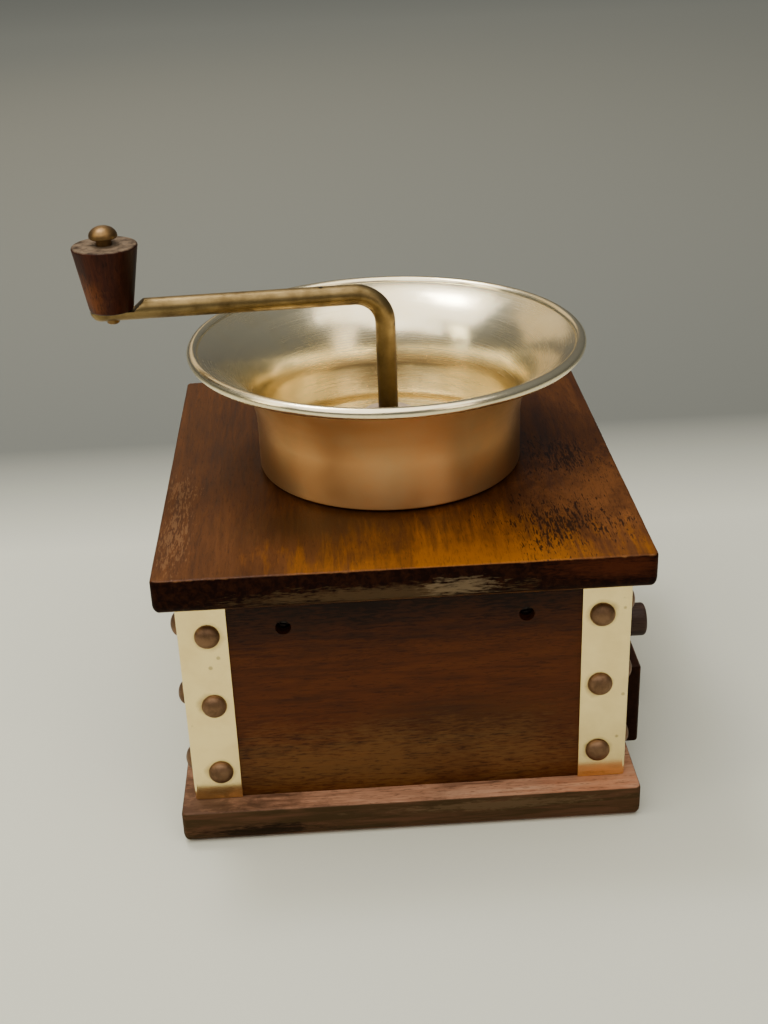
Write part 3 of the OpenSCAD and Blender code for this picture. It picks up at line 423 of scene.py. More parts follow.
# Rolled sheet, polished: an almost clear mirror of the pale floor, spotted and brown round the nails.
strip_brass = aged_metal("polished_brass_sheet", "#f6de9e", "#d0b078", 0.17, 12, 0.35, specks=0.45,
                         tarnish_and_shade=nail_halo, tarnish_and_shade_tone="#8a6a38")
# Drawn rod and turned heads, never polished: dull gold with brown clouds and dark pits. The rod is
# coloured darker downwards, into the hopper.
crank_brass = aged_metal("aged_brass_rod", "#86714a", "#4c3b20", 0.4, 9, 0.8, specks=0.95, tarnish_and_shade=rod_darker_downwards,
                         tarnish_and_shade_tone="#261706")
pin_brass = aged_metal("antique_brass", "#80643f", "#4e3822", 0.4, 5, 0.6)
old_brass = aged_metal("dull_brass", "#a98f68", "#6a5236", 0.42, 8, 0.6)
nail_bronze = aged_metal("antique_bronze", "#7d6048", "#4a3626", 0.5, 4, 0.6)
# Sand casting, rough and dark; where beans rub it, it shines; cut teeth and browned screws lie between.
works_iron = aged_metal("cast_iron_casting", "#5b5b5e", "#2f2e2f", 0.55, 6, 0.6, scratch_mm=1.2, scratch=0.5)
rubbed_iron = aged_metal("bean_polished_iron", "#c4b1a6", "#8d7d73", 0.4, 6, 0.6, scratch_mm=1.2, scratch=0.3)
burr_iron = aged_metal("cut_hardened_iron", "#6a6a6c", "#3a3938", 0.42, 5, 0.5)
screw_steel = aged_metal("browned_steel", "#4a4340", "#241d19", 0.5, 4, 0.6)
print("metals:", [m.name for m in bpy.data.materials if "wood" not in m.name])

# %% [markdown]
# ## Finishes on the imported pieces
# Panels, cleats, drawer boards and the grinding works are flat, sawn, drilled or cast, with their
# edges covered. They could be rebuilt, but only need the right material. The side panels' grain is
# level, as the front's is, so it runs along the other axis. The bearing bridge stands among the
# beans, which have rubbed its casting bright.

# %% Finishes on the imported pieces
slot_finish = dict(
    top_wood=top_wood, panel_wood=panel_wood, base_wood=base_wood, drawer_wood=drawer_wood,
    knob_wood=knob_wood, inner_wood=inner_wood, strip_brass=strip_brass, bowl_brass=bowl_brass,
    crank_brass=crank_brass, pin_brass=pin_brass, old_brass=old_brass, nail_bronze=nail_bronze,
    works_iron=works_iron, burr_iron=burr_iron, screw_steel=screw_steel)
slot_of = {part["node"]: part["material_slot"] for part in frame["record"]["subparts"]}
for node_name, piece in nodes.items():
    piece.data.materials.clear()
    piece.data.materials.append(slot_finish[slot_of[node_name]])
nodes["bearing_bridge"].data.materials[0] = rubbed_iron
for side in ("left_panel", "right_panel"):
    nodes[side].data.materials[0] = side_wood
print("finished nodes:", len(slot_of))

# %% [markdown]
# ## Mesh helpers
# The bowl, the knob and its pin are turned pieces: a profile swung round an axis. A profile lists
# corners with a rounding radius each, and the rounding becomes a short arc. A Screw modifier could
# swing it too, but rings written in code close at the seam, and end in a single point on the axis.

# %% Turned pieces
SHARP_ANGLE, SAME_SPOT, ON_AXIS = math.radians(35), 1e-7, 1e-9


def spaced(start, end, count):
    """count + 1 even values from start to end."""
    return [start + (end - start) * k / count for k in range(count + 1)]


def rounded(corners, steps=5):
    """corners are (x, y, radius); each corner with a radius becomes an arc of that radius."""
    points = []
    count = len(corners)
    for i, (x, y, radius) in enumerate(corners):
        here = Vector((x, y))
        if radius <= 0:
            points.append(here)
            continue
        to_last = (Vector(corners[i - 1][:2]) - here).normalized()
        to_next = (Vector(corners[(i + 1) % count][:2]) - here).normalized()
        half = to_last.angle(to_next) / 2
        reach = radius / math.tan(half)
        centre = here + (to_last + to_next).normalized() * (radius / math.sin(half))
        start, end = here + to_last * reach - centre, here + to_next * reach - centre
        points += [centre + start.lerp(end, k / steps).normalized() * radius for k in range(steps + 1)]
    return points


def smooth(mesh):
    mesh.shade_smooth()
    mesh.set_sharp_from_angle(angle=SHARP_ANGLE)


def finish_mesh(name, verts, faces, material):
    mesh = bpy.data.meshes.new(name)
    mesh.from_pydata(verts, [], faces)
    work = bmesh.new()
    work.from_mesh(mesh)
    bmesh.ops.remove_doubles(work, verts=work.verts, dist=SAME_SPOT)
    bmesh.ops.recalc_face_normals(work, faces=work.faces)
    work.to_mesh(mesh)
    work.free()
    smooth(mesh)
    mesh.materials.append(material)
    return put(name, mesh)


def turned(name, profile, material, place=Matrix(), sides=96):
    """profile is a list of (radius, height) in metres; a closed profile repeats its first point."""
    verts, rings, faces = [], [], []
    for radius, height in profile:
        count = 1 if radius < ON_AXIS else sides
        rings.append(range(len(verts), len(verts) + count))
        verts += [place @ Vector((radius * math.cos(a), radius * math.sin(a), height))
                  for a in spaced(0, math.tau, sides)[:count]]
    for low, high in zip(rings, rings[1:]):
        for k in range(sides):
            n = (k + 1) % sides
            quad = [low[k % len(low)], low[n % len(low)], high[n % len(high)], high[k % len(high)]]
            quad = [v for i, v in enumerate(quad) if v not in quad[:i]]
            if len(quad) > 2:
                faces.append(quad)
    return finish_mesh(name, verts, faces, material)


def stand_in(piece, body, slot, *replaced):
    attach(piece, body)
    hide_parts(*replaced)
    print(piece.name, "faces:", len(piece.data.polygons))


# %% [markdown]
# ## Top board, base board and drawer front
# A board's arris is never sharp: the maker eased it and hands rounded it further. A cube with a
# Bevel modifier would round all edges alike. Here each board is a stack of rings round its outline,
# set in by the rounding and a little noise, so the lower arris can be rounder than the upper one and
# no edge is ruler straight. The rings on an arris carry the "wear" attribute that the wood reads.

# %% Boards
FLAT_INSET, FADE_INSET, LEAST_CORNER = 6 * MM, 2.5 * MM, 0.3 * MM
COARSE_WOBBLE, FINE_WOBBLE = 45, 160


def outline(half_w, half_d, corner_r, inset, spacing=3 * MM, corner_steps=7):
    """Points round a rounded rectangle that is set in by inset, as many for every inset."""
    radius = max(corner_r - inset, LEAST_CORNER)
    w, d = half_w - inset - radius, half_d - inset - radius
    points = []
    corners = ((1, 1, -2, 0), (-1, 1, 0, -2), (-1, -1, 2, 0), (1, -1, 0, 2))
    for quarter, (sx, sy, step_x, step_y) in enumerate(corners):
        for k in range(corner_steps + 1):
            a = (quarter + k / corner_steps) * math.pi / 2
            points.append(Vector((sx * w + radius * math.cos(a), sy * d + radius * math.sin(a))))
        run = abs(step_x) * (half_w - corner_r) + abs(step_y) * (half_d - corner_r)
        count = max(int(run / spacing), 2)
        step = Vector((step_x * w, step_y * d))
        points += [points[-1] + step * (k / count) for k in range(1, count)]
    return points


def loft(rows, count, capped=True):
    """Quads between rows of count points each, and a cap on the first and the last row."""
    faces = []
    for low in range(0, (rows - 1) * count, count):
        for k in range(count):
            n = (k + 1) % count
            faces.append([low + k, low + n, low + count + n, low + count + k])
    if capped:
        faces += [list(range(count)), list(range((rows - 1) * count, rows * count))]
    return faces


def worn_board(name, half_w, half_d, thick, corner_r, foot_r, top_r, material, place, hole_r=0.0,
               wobble=0.14 * MM, foot_wear=0.7, top_wear=0.75):
    """A board lying on z = 0 round the origin, then moved by place."""
    quarter = spaced(0, math.pi / 2, 5)
    rings = [(FLAT_INSET, 0.0, 0.0)]
    rings += [(foot_r * (1 - math.sin(a)), foot_r * (1 - math.cos(a)), foot_wear * math.sin(2 * a) ** 2)
              for a in quarter]
    rings.append((0.0, thick / 2, 0.25))
    rings += [(top_r * (1 - math.cos(a)), thick - top_r * (1 - math.sin(a)),
               top_wear * (0.6 + 0.4 * math.sin(2 * a))) for a in quarter]
    rings += [(FADE_INSET, thick, 0.35 * top_wear), (FLAT_INSET, thick, 0.0)]
    verts, wear = [], []
    for inset, height, rub in rings:
        for p in outline(half_w, half_d, corner_r, inset):
            spot = place @ Vector((p.x, p.y, height))
            ripple = noise.noise(spot * COARSE_WOBBLE) * 0.6 + noise.noise(spot * FINE_WOBBLE) * 0.4
            inward = -p.normalized() * max(wobble * (ripple + 0.5), 0.0) if 0 < rub else Vector((0, 0))
            verts.append(place @ Vector((p.x + inward.x, p.y + inward.y, height)))
            wear.append(rub)
    count = len(verts) // len(rings)
    faces = loft(len(rings), count, capped=not hole_r)
    if hole_r:
        last = (len(rings) - 1) * count
        low, high = last + count, last + 2 * count
        hole = [p.normalized() * hole_r for p in outline(half_w, half_d, corner_r, FLAT_INSET)]
        verts += [place @ Vector((q.x, q.y, height)) for height in (0.0, thick) for q in hole]
        wear += [0.0] * (2 * count)
        for k in range(count):
            n = (k + 1) % count
            faces += [[k, n, low + n, low + k], [last + k, last + n, high + n, high + k],
                      [low + k, low + n, high + n, high + k]]
    piece = finish_mesh(name, verts, faces, material)
    piece.data.attributes.new("wear", "FLOAT", "POINT").data.foreach_set("value", wear)
    return piece


BOARD_CORNER, BOARD_ARRIS, BOARD_CRISP = 2 * MM, 4 * MM, 0.9 * MM
DRAWER_ARRIS, DRAWER_CORNER = 1.5 * MM, 1.0 * MM
BOARD_HOLE = 36.6 * MM


def board_from_box(node, material, **options):
    low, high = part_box(node)
    size = high - low
    place = Matrix.Translation(((low.x + high.x) / 2, (low.y + high.y) / 2, low.z))
    return worn_board(node + "_worn", size.x / 2, size.y / 2, size.z, BOARD_CORNER, BOARD_ARRIS, BOARD_CRISP,
                      material, place, **options)


stand_in(board_from_box("top_board", top_wood, hole_r=BOARD_HOLE), "case", "top_wood", "top_board")
stand_in(board_from_box("base_board", base_wood), "case", "base_wood", "base_board")

low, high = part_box("drawer_front")
face_out = Matrix(((0, 0, 1), (1, 0, 0), (0, 1, 0))).to_4x4()
drawer_place = Matrix.Translation((low.x, 0.0, (low.z + high.z) / 2)) @ face_out
drawer_front = worn_board("drawer_front_worn", (high.y - low.y) / 2, (high.z - low.z) / 2, high.x - low.x,
                          DRAWER_CORNER, BOARD_CRISP, DRAWER_ARRIS, drawer_wood, drawer_place, foot_wear=0.3)
stand_in(drawer_front, "drawer", "drawer_wood", "drawer_front")

# %% [markdown]
# ## Corner strips
# Each strip is a length of brass sheet folded to an angle over the arris of the case. Folded sheet
# is round outside the bend, and its cut edges catch the light. A plane with a Solidify modifier
# would have a sharp bend, so the profile is drawn with both faces of the sheet and swept up the
# corner, and a Bevel modifier breaks the cut edges.

# %% Corner strips
STRIP_SHEET, STRIP_BEND, STRIP_EDGE, STRIP_LEVELS = 1.0 * MM, 1.4 * MM, 0.22 * MM, 12


def corner_strip(node):
    low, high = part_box(node)
    sx, sy = math.copysign(1, low.x), math.copysign(1, low.y)
    x, y = max(abs(low.x), abs(high.x)), max(abs(low.y), abs(high.y))
    width = high.x - low.x
    profile = rounded([
        (x - width, y, 0), (x, y, STRIP_BEND), (x, y - width, 0), (x - STRIP_SHEET, y - width, 0),
        (x - STRIP_SHEET, y - STRIP_SHEET, 0), (x - width, y - STRIP_SHEET, 0)])
    heights = spaced(low.z, high.z, STRIP_LEVELS)
    verts = [(sx * p.x, sy * p.y, z) for z in heights for p in profile]
    piece = finish_mesh(node + "_folded", verts, loft(len(heights), len(profile)), strip_brass)
    bevel = piece.modifiers.new("edge", "BEVEL")
    bevel.width = STRIP_EDGE
    bevel.segments = 2
    bevel.limit_method = "ANGLE"
    bevel.angle_limit = math.radians(50)
    return piece


for strip in ("strip_front_left", "strip_front_right", "strip_back_left", "strip_back_right"):
    stand_in(corner_strip(strip), "case", "strip_brass", strip)

# %% [markdown]
# ## Hopper bowl
# The bowl is spun from one brass disc: a raised floor, a foot ring, a straight wall that flares
# like a bell, and a rim rolled over a bead. A shell with a Solidify modifier would do, but a lathe
# profile of both faces gives the spinner's shape and smooth rings for the reflections to run along.
# Faces that look outwards below the bead take the hazed brass.

# %% Hopper bowl
BOWL_R, BOWL_SHEET, BOWL_FLOOR_R, THROAT_R = 53 * MM, 1.2 * MM, 47 * MM, 24.5 * MM
BOWL_FLOOR_LIFT, BOWL_STRAIGHT, BEAD_R = 6 * MM, 20 * MM, 2.2 * MM
HAZED = 1


def arc(centre, radius, start, end, steps):
    return [(centre[0] + radius * math.cos(a), centre[1] + radius * math.sin(a))
            for a in spaced(start, end, steps)]


def hopper_bowl():
    low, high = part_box("hopper_bowl")
    foot, floor_low = low.z, WOOD_TOP_Z + BOWL_FLOOR_LIFT
    floor_top, flare_low = floor_low + BOWL_SHEET, WOOD_TOP_Z + BOWL_STRAIGHT
    bead = (high.x - BEAD_R, high.z - BEAD_R)
    rise, run = bead[1] - flare_low, bead[0] - BOWL_R + BOWL_SHEET / 2
    turn = 2 * math.atan(run / rise)
    sweep = rise / math.sin(turn)
    centre = (BOWL_R + sweep, flare_low)
    inner = rounded([
        (THROAT_R, floor_top, 0), (BOWL_FLOOR_R, floor_top, 0.9 * MM),
        (BOWL_FLOOR_R, foot + BOWL_SHEET, 0.6 * MM), (BOWL_R - BOWL_SHEET, foot + BOWL_SHEET, 0.8 * MM),
        (BOWL_R - BOWL_SHEET, flare_low, 0)])[:-1]
    flare_in = arc(centre, sweep + BOWL_SHEET, math.pi, math.pi - turn * 0.96, 40)
    roll = arc(bead, BEAD_R, math.pi * 0.93, -math.pi * 0.86, 24)
    flare_out = arc(centre, sweep, math.pi - turn * 0.96, math.pi, 40)
    outer = rounded([
        (BOWL_R, flare_low, 0), (BOWL_R, foot, 1.0 * MM), (BOWL_FLOOR_R - BOWL_SHEET, foot, 0.5 * MM),
        (BOWL_FLOOR_R - BOWL_SHEET, floor_low, 0.4 * MM), (THROAT_R, floor_low, 0)])[1:]
    profile = inner + flare_in + roll + flare_out + outer
    piece = turned("hopper_bowl_spun", profile + profile[:1], bowl_brass, sides=192)
    piece.data.materials.append(hazed_brass)
    for face in piece.data.polygons:
        out = face.center.xy
        below_bead = face.center.z < bead[1] - BEAD_R
        if below_bead and out.length > BOWL_FLOOR_R + BOWL_SHEET and face.normal.xy.dot(out) > 0:
            face.material_index = HAZED
    return piece


stand_in(hopper_bowl(), "case", "bowl_brass", "hopper_bowl")

# %% [markdown]
# ## Crank
# The crank is one rod, bent while hot, with half of its end filed away to make a flat tang. A curve
# with a round bevel would give the rod but not the tang. Rings of points follow the shaft, the bend
# and the arm instead, and points above the filed face are pressed down onto it.

# %% Crank
ROD_R, BEND_R, CRANK_LENGTH, TANG_CUT, TANG_END = 4 * MM, 12 * MM, 105 * MM, 8.5 * MM, 8.3 * MM
CRANK_REST = math.radians(3)
ROD_SIDES, ROD_POINT = 48, 1e-5


def crank_rod():
    low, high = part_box("crank_rod")
    arm_z = high.z - ROD_R
    bend_z = arm_z - BEND_R
    tip = -(CRANK_LENGTH + TANG_END)
    straight_end = tip + ROD_R
    plain = -(CRANK_LENGTH - TANG_CUT - 3 * ROD_R)
    level = math.pi / 2
    stations = [((0.0, z), 0.0, ROD_R) for z in spaced(low.z, bend_z, 30)]
    stations += [((-BEND_R * (1 - math.cos(a)), bend_z + BEND_R * math.sin(a)), a, ROD_R)
                 for a in spaced(0, level, 24)[1:]]
    stations += [((x, arm_z), level, ROD_R)
                 for x in spaced(-BEND_R, plain, 12)[1:] + spaced(plain, straight_end, 56)[1:]]
    stations += [((straight_end - ROD_R * math.sin(a), arm_z), level, max(ROD_R * math.cos(a), ROD_POINT))
                 for a in spaced(0, level, 8)[1:]]
    turn = Matrix.Rotation(CRANK_REST, 4, "Z")
    verts = []
    for (x, z), lean, radius in stations:
        for a in spaced(0, math.tau, ROD_SIDES)[:-1]:
            side = radius * math.cos(a)
            point = Vector((x + side * math.cos(lean), radius * math.sin(a), z + side * math.sin(lean)))
            point.z = min(point.z, arm_z + max(point.x + CRANK_LENGTH - TANG_CUT, 0.0))
            verts.append(turn @ point)
    return finish_mesh("crank_rod_bent", verts, loft(len(stations), ROD_SIDES), crank_brass)


stand_in(crank_rod(), "crank", "crank_brass", "crank_rod")

# %% [markdown]
# ## Knob and pin
# The knob is a cone turned from dark wood, wider at the top, and it spins on a pin that is riveted
# through the tang. Both are profiles from the lathe. The knob's rims carry "wear", because fingers
# rub them pale, and the pin's dome is an ellipse, as a file leaves it.

# %% Knob and pin
PIN_R, RIVET_R, PIN_HEAD_R, PIN_HEAD_H = 3 * MM, 2.4 * MM, 5.4 * MM, 4.6 * MM
KNOB_TOP_R, KNOB_FOOT_R, KNOB_BORE_R, KNOB_RUB = 12.6 * MM, 8.3 * MM, PIN_R + 0.05 * MM, 1.5 * MM
PIN_SHOULDER, PIN_HEAD_EDGE = 5 * MM, 0.8 * MM


def at_knob(height):
    spot = Matrix.Rotation(CRANK_REST, 4, "Z") @ Vector((-CRANK_LENGTH, 0, height))
    return Matrix.Translation(spot)


def crank_knob():
    low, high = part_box("crank_knob")
    tall = high.z - low.z
    profile = rounded([(KNOB_BORE_R, 0, 0), (KNOB_FOOT_R, 0, 1.3 * MM), (KNOB_TOP_R, tall, 0.8 * MM),
                       (KNOB_BORE_R, tall, 0)])
    piece = turned("crank_knob_turned", profile + profile[:1], knob_wood, at_knob(low.z))
    rub = []
    for v in piece.data.vertices:
        top = max(0.0, 1 - (high.z - v.co.z) / KNOB_RUB)
        foot = max(0.0, 1 - (v.co.z - low.z) / KNOB_RUB)
        rub.append(max(top, 0.5 * foot))
    piece.data.attributes.new("wear", "FLOAT", "POINT").data.foreach_set("value", rub)
    return piece


def knob_pin():
    low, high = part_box("knob_pin")
    head = high.z - low.z - PIN_HEAD_H
    dome_z = head + PIN_HEAD_EDGE
    dome = [(PIN_HEAD_R * math.cos(a), dome_z + (PIN_HEAD_H - PIN_HEAD_EDGE) * math.sin(a))
            for a in spaced(0, math.pi / 2, 14)[:-1]]
    profile = [(0, 0), (RIVET_R * 0.8, 0), (RIVET_R, 0.4 * MM), (RIVET_R, PIN_SHOULDER),
               (PIN_R, PIN_SHOULDER), (PIN_R, head), (PIN_HEAD_R - 0.4 * MM, head),
               (PIN_HEAD_R, head + 0.4 * MM)]
    return turned("knob_pin_domed", profile + dome + [(0, head + PIN_HEAD_H)], pin_brass, at_knob(low.z),
                  sides=64)


stand_in(crank_knob(), "knob", "knob_wood", "crank_knob")
stand_in(knob_pin(), "crank", "pin_brass", "knob_pin")

# %% [markdown]
# ## Drawer knob
# A plain turned peg pulls the drawer. Its outer end is eased more than the end at the wood. It is
# turned upright, as on a lathe, and then laid on its side by the matrix that places its points.

# %% Drawer knob
def drawer_knob():
    low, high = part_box("drawer_knob")
    radius, long = (high.y - low.y) / 2, high.x - low.x
    sideways = Matrix.Translation((low.x, 0, (low.z + high.z) / 2)) @ Matrix.Rotation(math.pi / 2, 4, "Y")
    profile = rounded([(0, 0, 0), (radius, 0, 0.4 * MM), (radius, long, 1.6 * MM), (0, long, 0)])
    return turned("drawer_knob_turned", profile, peg_wood, sideways, sides=64)


stand_in(drawer_knob(), "drawer", "knob_wood", "drawer_knob")

# %% [markdown]
# ## Places of the nails and screws
# Twenty-four domed nails hold the strips, and slotted screws hold the panels and the bearing bridge.
# Their places could be typed in again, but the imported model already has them: each separate solid
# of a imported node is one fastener, and its box gives its place.

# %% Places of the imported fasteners
def solids(node):
    """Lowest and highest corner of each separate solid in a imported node."""
    work = bmesh.new()
    work.from_mesh(nodes[node].data)
    bmesh.ops.remove_doubles(work, verts=work.verts, dist=10 * SAME_SPOT)
    seen, boxes = set(), []
    for start in work.verts:
        group, todo = [], [start]
        while todo:
            v = todo.pop()
            if v not in seen:
                seen.add(v)
                group.append(v.co.copy())
                todo += [edge.other_vert(v) for edge in v.link_edges]
        if group:
            boxes.append([Vector([pick(p[i] for p in group) for i in range(3)]) for pick in (min, max)])
    work.free()
    return boxes


def places(name, spots):
    """A mesh of loose points, each with the direction that its fastener's head faces."""
    mesh = bpy.data.meshes.new(name)
    mesh.from_pydata([at for at, _ in spots], [], [])
    out = mesh.attributes.new("outward", "FLOAT_VECTOR", "POINT")
    out.data.foreach_set("vector", [c for _, way in spots for c in way])
    return put(name, mesh)


# %% [markdown]
# ## A node tree that sets heads
# Things that repeat are a job for Geometry Nodes: one head is built in the tree from named sizes, and
# set on every place, facing outwards. Copies made in code would do, but a tree can be opened and
# its sizes changed. A fixed seed tilts each head a little, as a hammer would. The result is turned
# into a plain mesh, because the export drops instances.

# %% Trees that set heads on places
def new_tree(name, sizes):
    tree = bpy.data.node_groups.new(name, "GeometryNodeTree")
    tree.interface.new_socket("Geometry", in_out="INPUT", socket_type="NodeSocketGeometry")
    for label, size in sizes.items():
        socket = tree.interface.new_socket(label, in_out="INPUT", socket_type="NodeSocketFloat")
        socket.default_value = size
    tree.interface.new_socket("Geometry", in_out="OUTPUT", socket_type="NodeSocketGeometry")
    return tree, add(tree, "NodeGroupInput").outputs


def set_heads(tree, group, head, material, tilt_degrees, seed):
    """Sets one head on every place, facing outwards, and ends the tree."""
    outward = add(tree, "GeometryNodeInputNamedAttribute", {"Name": "outward"}, data_type="FLOAT_VECTOR")
    facing = add(tree, "FunctionNodeAlignRotationToVector", {
        "Vector": outward.outputs["Attribute"]}, axis="Z")
    lean = math.radians(tilt_degrees)
    tilt = add(tree, "FunctionNodeRandomValue", {
        "Min": (-lean, -lean, -math.pi), "Max": (lean, lean, math.pi), "Seed": seed},
        data_type="FLOAT_VECTOR")
    turn = add(tree, "FunctionNodeRotateRotation", {
        "Rotation": facing, "Rotate By": add(tree, "FunctionNodeEulerToRotation", {0: tilt})},
        rotation_space="LOCAL")
    copies = add(tree, "GeometryNodeInstanceOnPoints", {
        "Points": group["Geometry"], "Instance": head, "Rotation": turn})
    real = add(tree, "GeometryNodeRealizeInstances", {"Geometry": copies})
    painted = add(tree, "GeometryNodeSetMaterial", {"Geometry": real, "Material": material})
    add(tree, "NodeGroupOutput", {"Geometry": painted})


def grow(piece, tree):
    """Runs the tree on the places and keeps the result as a plain mesh."""
    piece.modifiers.new("grow", "NODES").node_group = tree
    evaluated = piece.evaluated_get(bpy.context.evaluated_depsgraph_get())
    mesh = bpy.data.meshes.new_from_object(evaluated)
    piece.modifiers.clear()
    piece.data = mesh
    smooth(mesh)
    return piece


# %% [markdown]
# ## Domed nails
# An upholstery nail's head is a shallow dome pressed from bronze sheet. In the tree it is a sphere
# with its lower half deleted, closed by a disc, and scaled to the head's height. A cap cut from a
# larger sphere would be as true, but this way takes both sizes as they are measured.

# %% Domed nails
def domed_head(tree, group):
    """A closed dome that stands on z = 0."""
    half = add(tree, MATH, {0: group["Head Diameter"], 1: 0.5}, "MULTIPLY")
    size = add(tree, COMBINE, {"X": half, "Y": half, "Z": group["Head Height"]})
    ball = add(tree, "GeometryNodeMeshUVSphere", {"Segments": 32, "Rings": 20, "Radius": 1.0})
    height = add(tree, SEPARATE, {"Vector": add(tree, "GeometryNodeInputPosition")})
    below = add(tree, "FunctionNodeCompare", {"A": height.outputs["Z"], "B": -0.05}, "LESS_THAN")
    dome = add(tree, "GeometryNodeDeleteGeometry", {"Geometry": ball, "Selection": below})
    disc = add(tree, "GeometryNodeMeshCircle", {"Vertices": 32, "Radius": 1.0}, fill_type="NGON")
    parts = add(tree, "GeometryNodeJoinGeometry")
    for part in (dome, disc):
        tree.links.new(part.outputs[0], parts.inputs[0])
    closed = add(tree, "GeometryNodeMergeByDistance", {"Geometry": parts, "Distance": 0.001})
    return add(tree, "GeometryNodeTransform", {"Geometry": closed, "Scale": size})


def nail_tree():
    tree, group = new_tree("domed_nails", {"Head Diameter": NAIL_HEAD_D, "Head Height": NAIL_HEAD_H})
    set_heads(tree, group, domed_head(tree, group), nail_bronze, tilt_degrees=2.5, seed=7)
    return tree


nail_spots = []
for low, high in solids("corner_nails"):
    seat = (low + high) / 2
    axis = 0 if abs(seat.x) > abs(seat.y) else 1
    way = Vector((0, 0, 0))
    way[axis] = math.copysign(1, seat[axis])
    seat[axis] = way[axis] * abs(STRIP_LOW[axis])
    nail_spots.append((seat, way))
nails = grow(places("corner_nails_domed", nail_spots), nail_tree())
stand_in(nails, "case", "nail_bronze", "corner_nails")

# %% [markdown]
# ## Slotted screws
# The same dome, with a saw cut across it and a shank below, makes a round-headed wood screw. The cut
# is a Mesh Boolean with a thin block, which is how the slot is sawn. No two slots point alike.

# %% Slotted screws
SLOT_W, SLOT_DEPTH, SCREW_HEAD_H = 0.8 * MM, 1.0 * MM, 2.2 * MM


def screw_tree(name, sizes, material, seed):
    tree, group = new_tree(name, sizes)
    head = domed_head(tree, group)
    slot_size = add(tree, COMBINE, {
        "X": group["Slot Width"], "Y": group["Head Diameter"], "Z": group["Slot Depth"]})
    wide = add(tree, VECTOR_MATH, {0: slot_size, 1: (1, 2, 2)}, "MULTIPLY")
    block = add(tree, "GeometryNodeMeshCube", {"Size": wide})
    at_top = add(tree, COMBINE, {"Z": group["Head Height"]})
    cutter = add(tree, "GeometryNodeTransform", {"Geometry": block, "Translation": at_top})
    slotted = add(tree, "GeometryNodeMeshBoolean", {"Mesh 1": head, "Mesh 2": cutter}, "DIFFERENCE")
    half, point, down = (
        add(tree, MATH, {0: group[size], 1: share}, "MULTIPLY") for size, share in
        (("Shank Diameter", 0.5), ("Shank Diameter", 0.1), ("Shank Length", -1.0)))
    shank = add(tree, "GeometryNodeMeshCone", {
        "Vertices": 20, "Radius Top": half, "Radius Bottom": point, "Depth": group["Shank Length"]})
    below = add(tree, COMBINE, {"Z": down})
    set_low = add(tree, "GeometryNodeTransform", {"Geometry": shank, "Translation": below})
    whole = add(tree, "GeometryNodeJoinGeometry")
    for part in (slotted, set_low):
        tree.links.new(part.outputs[0], whole.inputs[0])
    set_heads(tree, group, whole, material, tilt_degrees=0.5, seed=seed)
    return tree


def slotted_screws(node, axis, shank_d, slot, seed):
    """axis is the way that the screws lie along; a head faces away from the middle of the mill, or up."""
    spots = []
    for low, high in solids(node):
        middle, size = (low + high) / 2, high - low
        way = Vector([math.copysign(1, middle[axis]) if i == axis else 0 for i in range(3)])
        spots.append((middle + way * (size[axis] / 2 - SCREW_HEAD_H), way))
    head_d = min(size[i] for i in range(3) if i != axis)
    sizes = {"Head Diameter": head_d, "Head Height": SCREW_HEAD_H, "Shank Diameter": shank_d,
             "Shank Length": size[axis] - SCREW_HEAD_H, "Slot Width": SLOT_W, "Slot Depth": SLOT_DEPTH}
    tree = screw_tree(node + "_tree", sizes, slot_finish[slot], seed)
    stand_in(grow(places(node + "_slotted", spots), tree), "case", slot, node)


slotted_screws("panel_screws", ALONG_Y, 3.5 * MM, "screw_steel", seed=3)
slotted_screws("bridge_screws", ALONG_Z, 3 * MM, "old_brass", seed=5)

# %% [markdown]
# ## Floor
# The mill stands on a plain pale sheet that lies flat on all sides, so that it can be seen from
# anywhere; a sheet that curves up behind it would hide it from there. Behind the mill the sheet is
# painted mid grey, a painted shade where a room's wall would stand darker, and it is painted paler
# again towards its far end, painted light that makes up for the light falling off there. The floor
# also lights the brass strips by reflection.

# %% Floor
SHEET_HALF, SHADE_FROM, SHADE_TO, SHADE_END = 15.0, 0.16, 0.3, 2.2


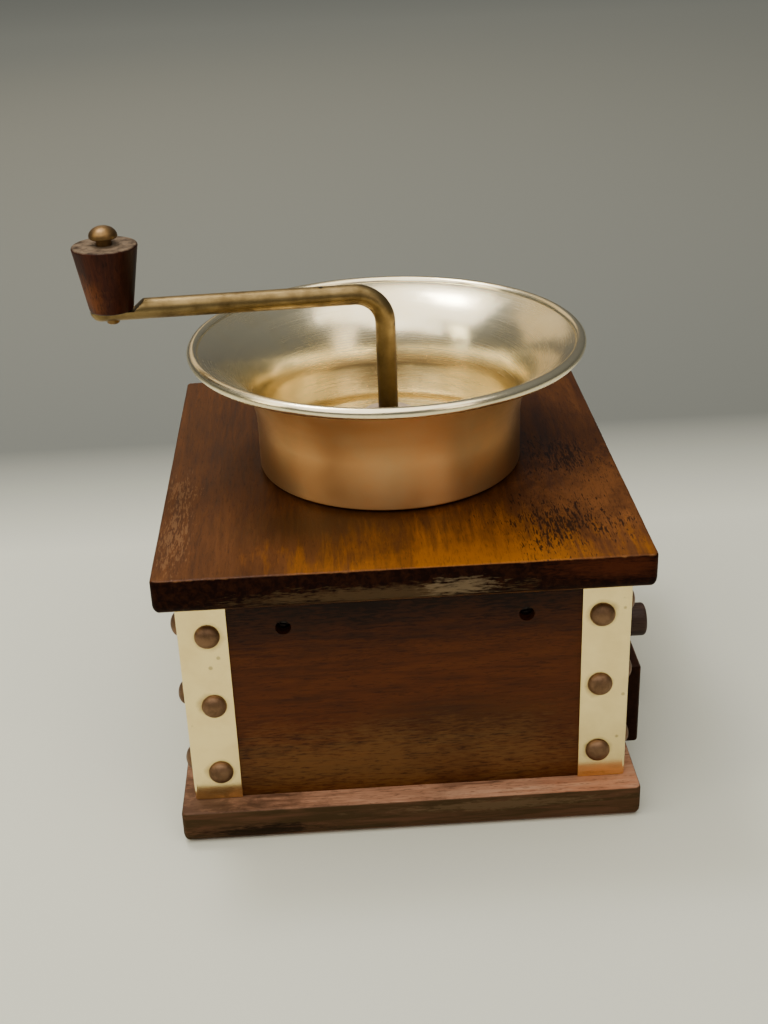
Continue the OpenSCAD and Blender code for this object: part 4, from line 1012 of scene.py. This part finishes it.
def pale_floor():
    material, tree = new_material("matt_pale_sheet")
    spot = add(tree, SEPARATE, {"Vector": add(tree, "ShaderNodeTexCoord").outputs["Object"]})
    # Painted shade: mid grey behind the mill; painted light: paler again towards the far end.
    shade = coats(tree, linear("#d2d2c2"), [
        (spot.outputs["Y"], SHADE_FROM, SHADE_TO, 1.0, linear("#6c6e68")),
        (spot.outputs["Y"], SHADE_TO, SHADE_END, 1.0, linear("#bfbfb2"))])
    surface = add(tree, "ShaderNodeBsdfPrincipled", {"Base Color": shade, "Roughness": 0.8})
    add(tree, "ShaderNodeOutputMaterial", {"Surface": surface})
    mesh = bpy.data.meshes.new("pale_sheet")
    corners = [(x * SHEET_HALF, y * SHEET_HALF, 0) for x, y in ((-1, -1), (1, -1), (1, 1), (-1, 1))]
    mesh.from_pydata(corners, [], [[0, 1, 2, 3]])
    mesh.materials.append(material)
    put("pale_sheet", mesh)
    print("floor in m:", 2 * SHEET_HALF)


pale_floor()

# %% [markdown]
# ## Light
# One large soft light hangs above, as a white ceiling would. Windows stand in front, to the left
# and behind, a narrow strip on the right draws a streak down the bowl, and a small lamp puts the
# glint into it. The room is paler above than at the horizon, because polished brass with an even
# room round it looks like plastic, and its horizon is as light as the far floor, so no line shows.

# %% Light
def soft_light(name, at, aim, size, watts, colour):
    data = bpy.data.lights.new(name, "AREA")
    data.shape = "RECTANGLE"
    data.size, data.size_y = size
    data.energy = watts
    data.color = linear(colour)[:3]
    light = put(name, data)
    light.location = at
    light.rotation_euler = (Vector(aim) - Vector(at)).to_track_quat("-Z", "Y").to_euler()
    print(name, "watts:", watts)


soft_light("ceiling_bounce", (-0.15, -0.2, 1.5), (0, -0.05, 0.1), (2.2, 1.6), 30, "#fffaf0")
soft_light("front_window", (-0.7, -1.1, 1.2), (0, 0, 0.12), (1.2, 0.6), 6, "#fffdf8")
soft_light("front_strip", (0.75, -1.03, 0.8), (0, 0, 0.12), (0.4, 0.9), 2.5, "#fff2e0")
soft_light("left_window", (-1.1, -0.35, 0.75), (0, 0, 0.15), (0.3, 0.7), 3, "#fff6d8")
soft_light("back_window", (-0.55, 1.35, 1.0), (0, 0, 0.15), (1.0, 0.8), 1.8, "#ffe2b0")
soft_light("small_lamp", (-0.25, 0.2, 0.95), (0, 0, 0.15), (0.24, 0.16), 3, "#ffffff")
world = bpy.data.worlds.new("soft_room")
world.use_nodes = True
room = world.node_tree
room.nodes.clear()
way = add(room, SEPARATE, {"Vector": add(room, "ShaderNodeTexCoord").outputs["Generated"]})
walls = coats(room, linear("#a8aaa8"), [(way.outputs["Z"], 0.05, 0.75, 1.0, linear("#e6eaec"))])
glow = add(room, "ShaderNodeBackground", {"Color": walls, "Strength": 0.26})
add(room, "ShaderNodeOutputWorld", {"Surface": glow})
bpy.context.scene.world = world
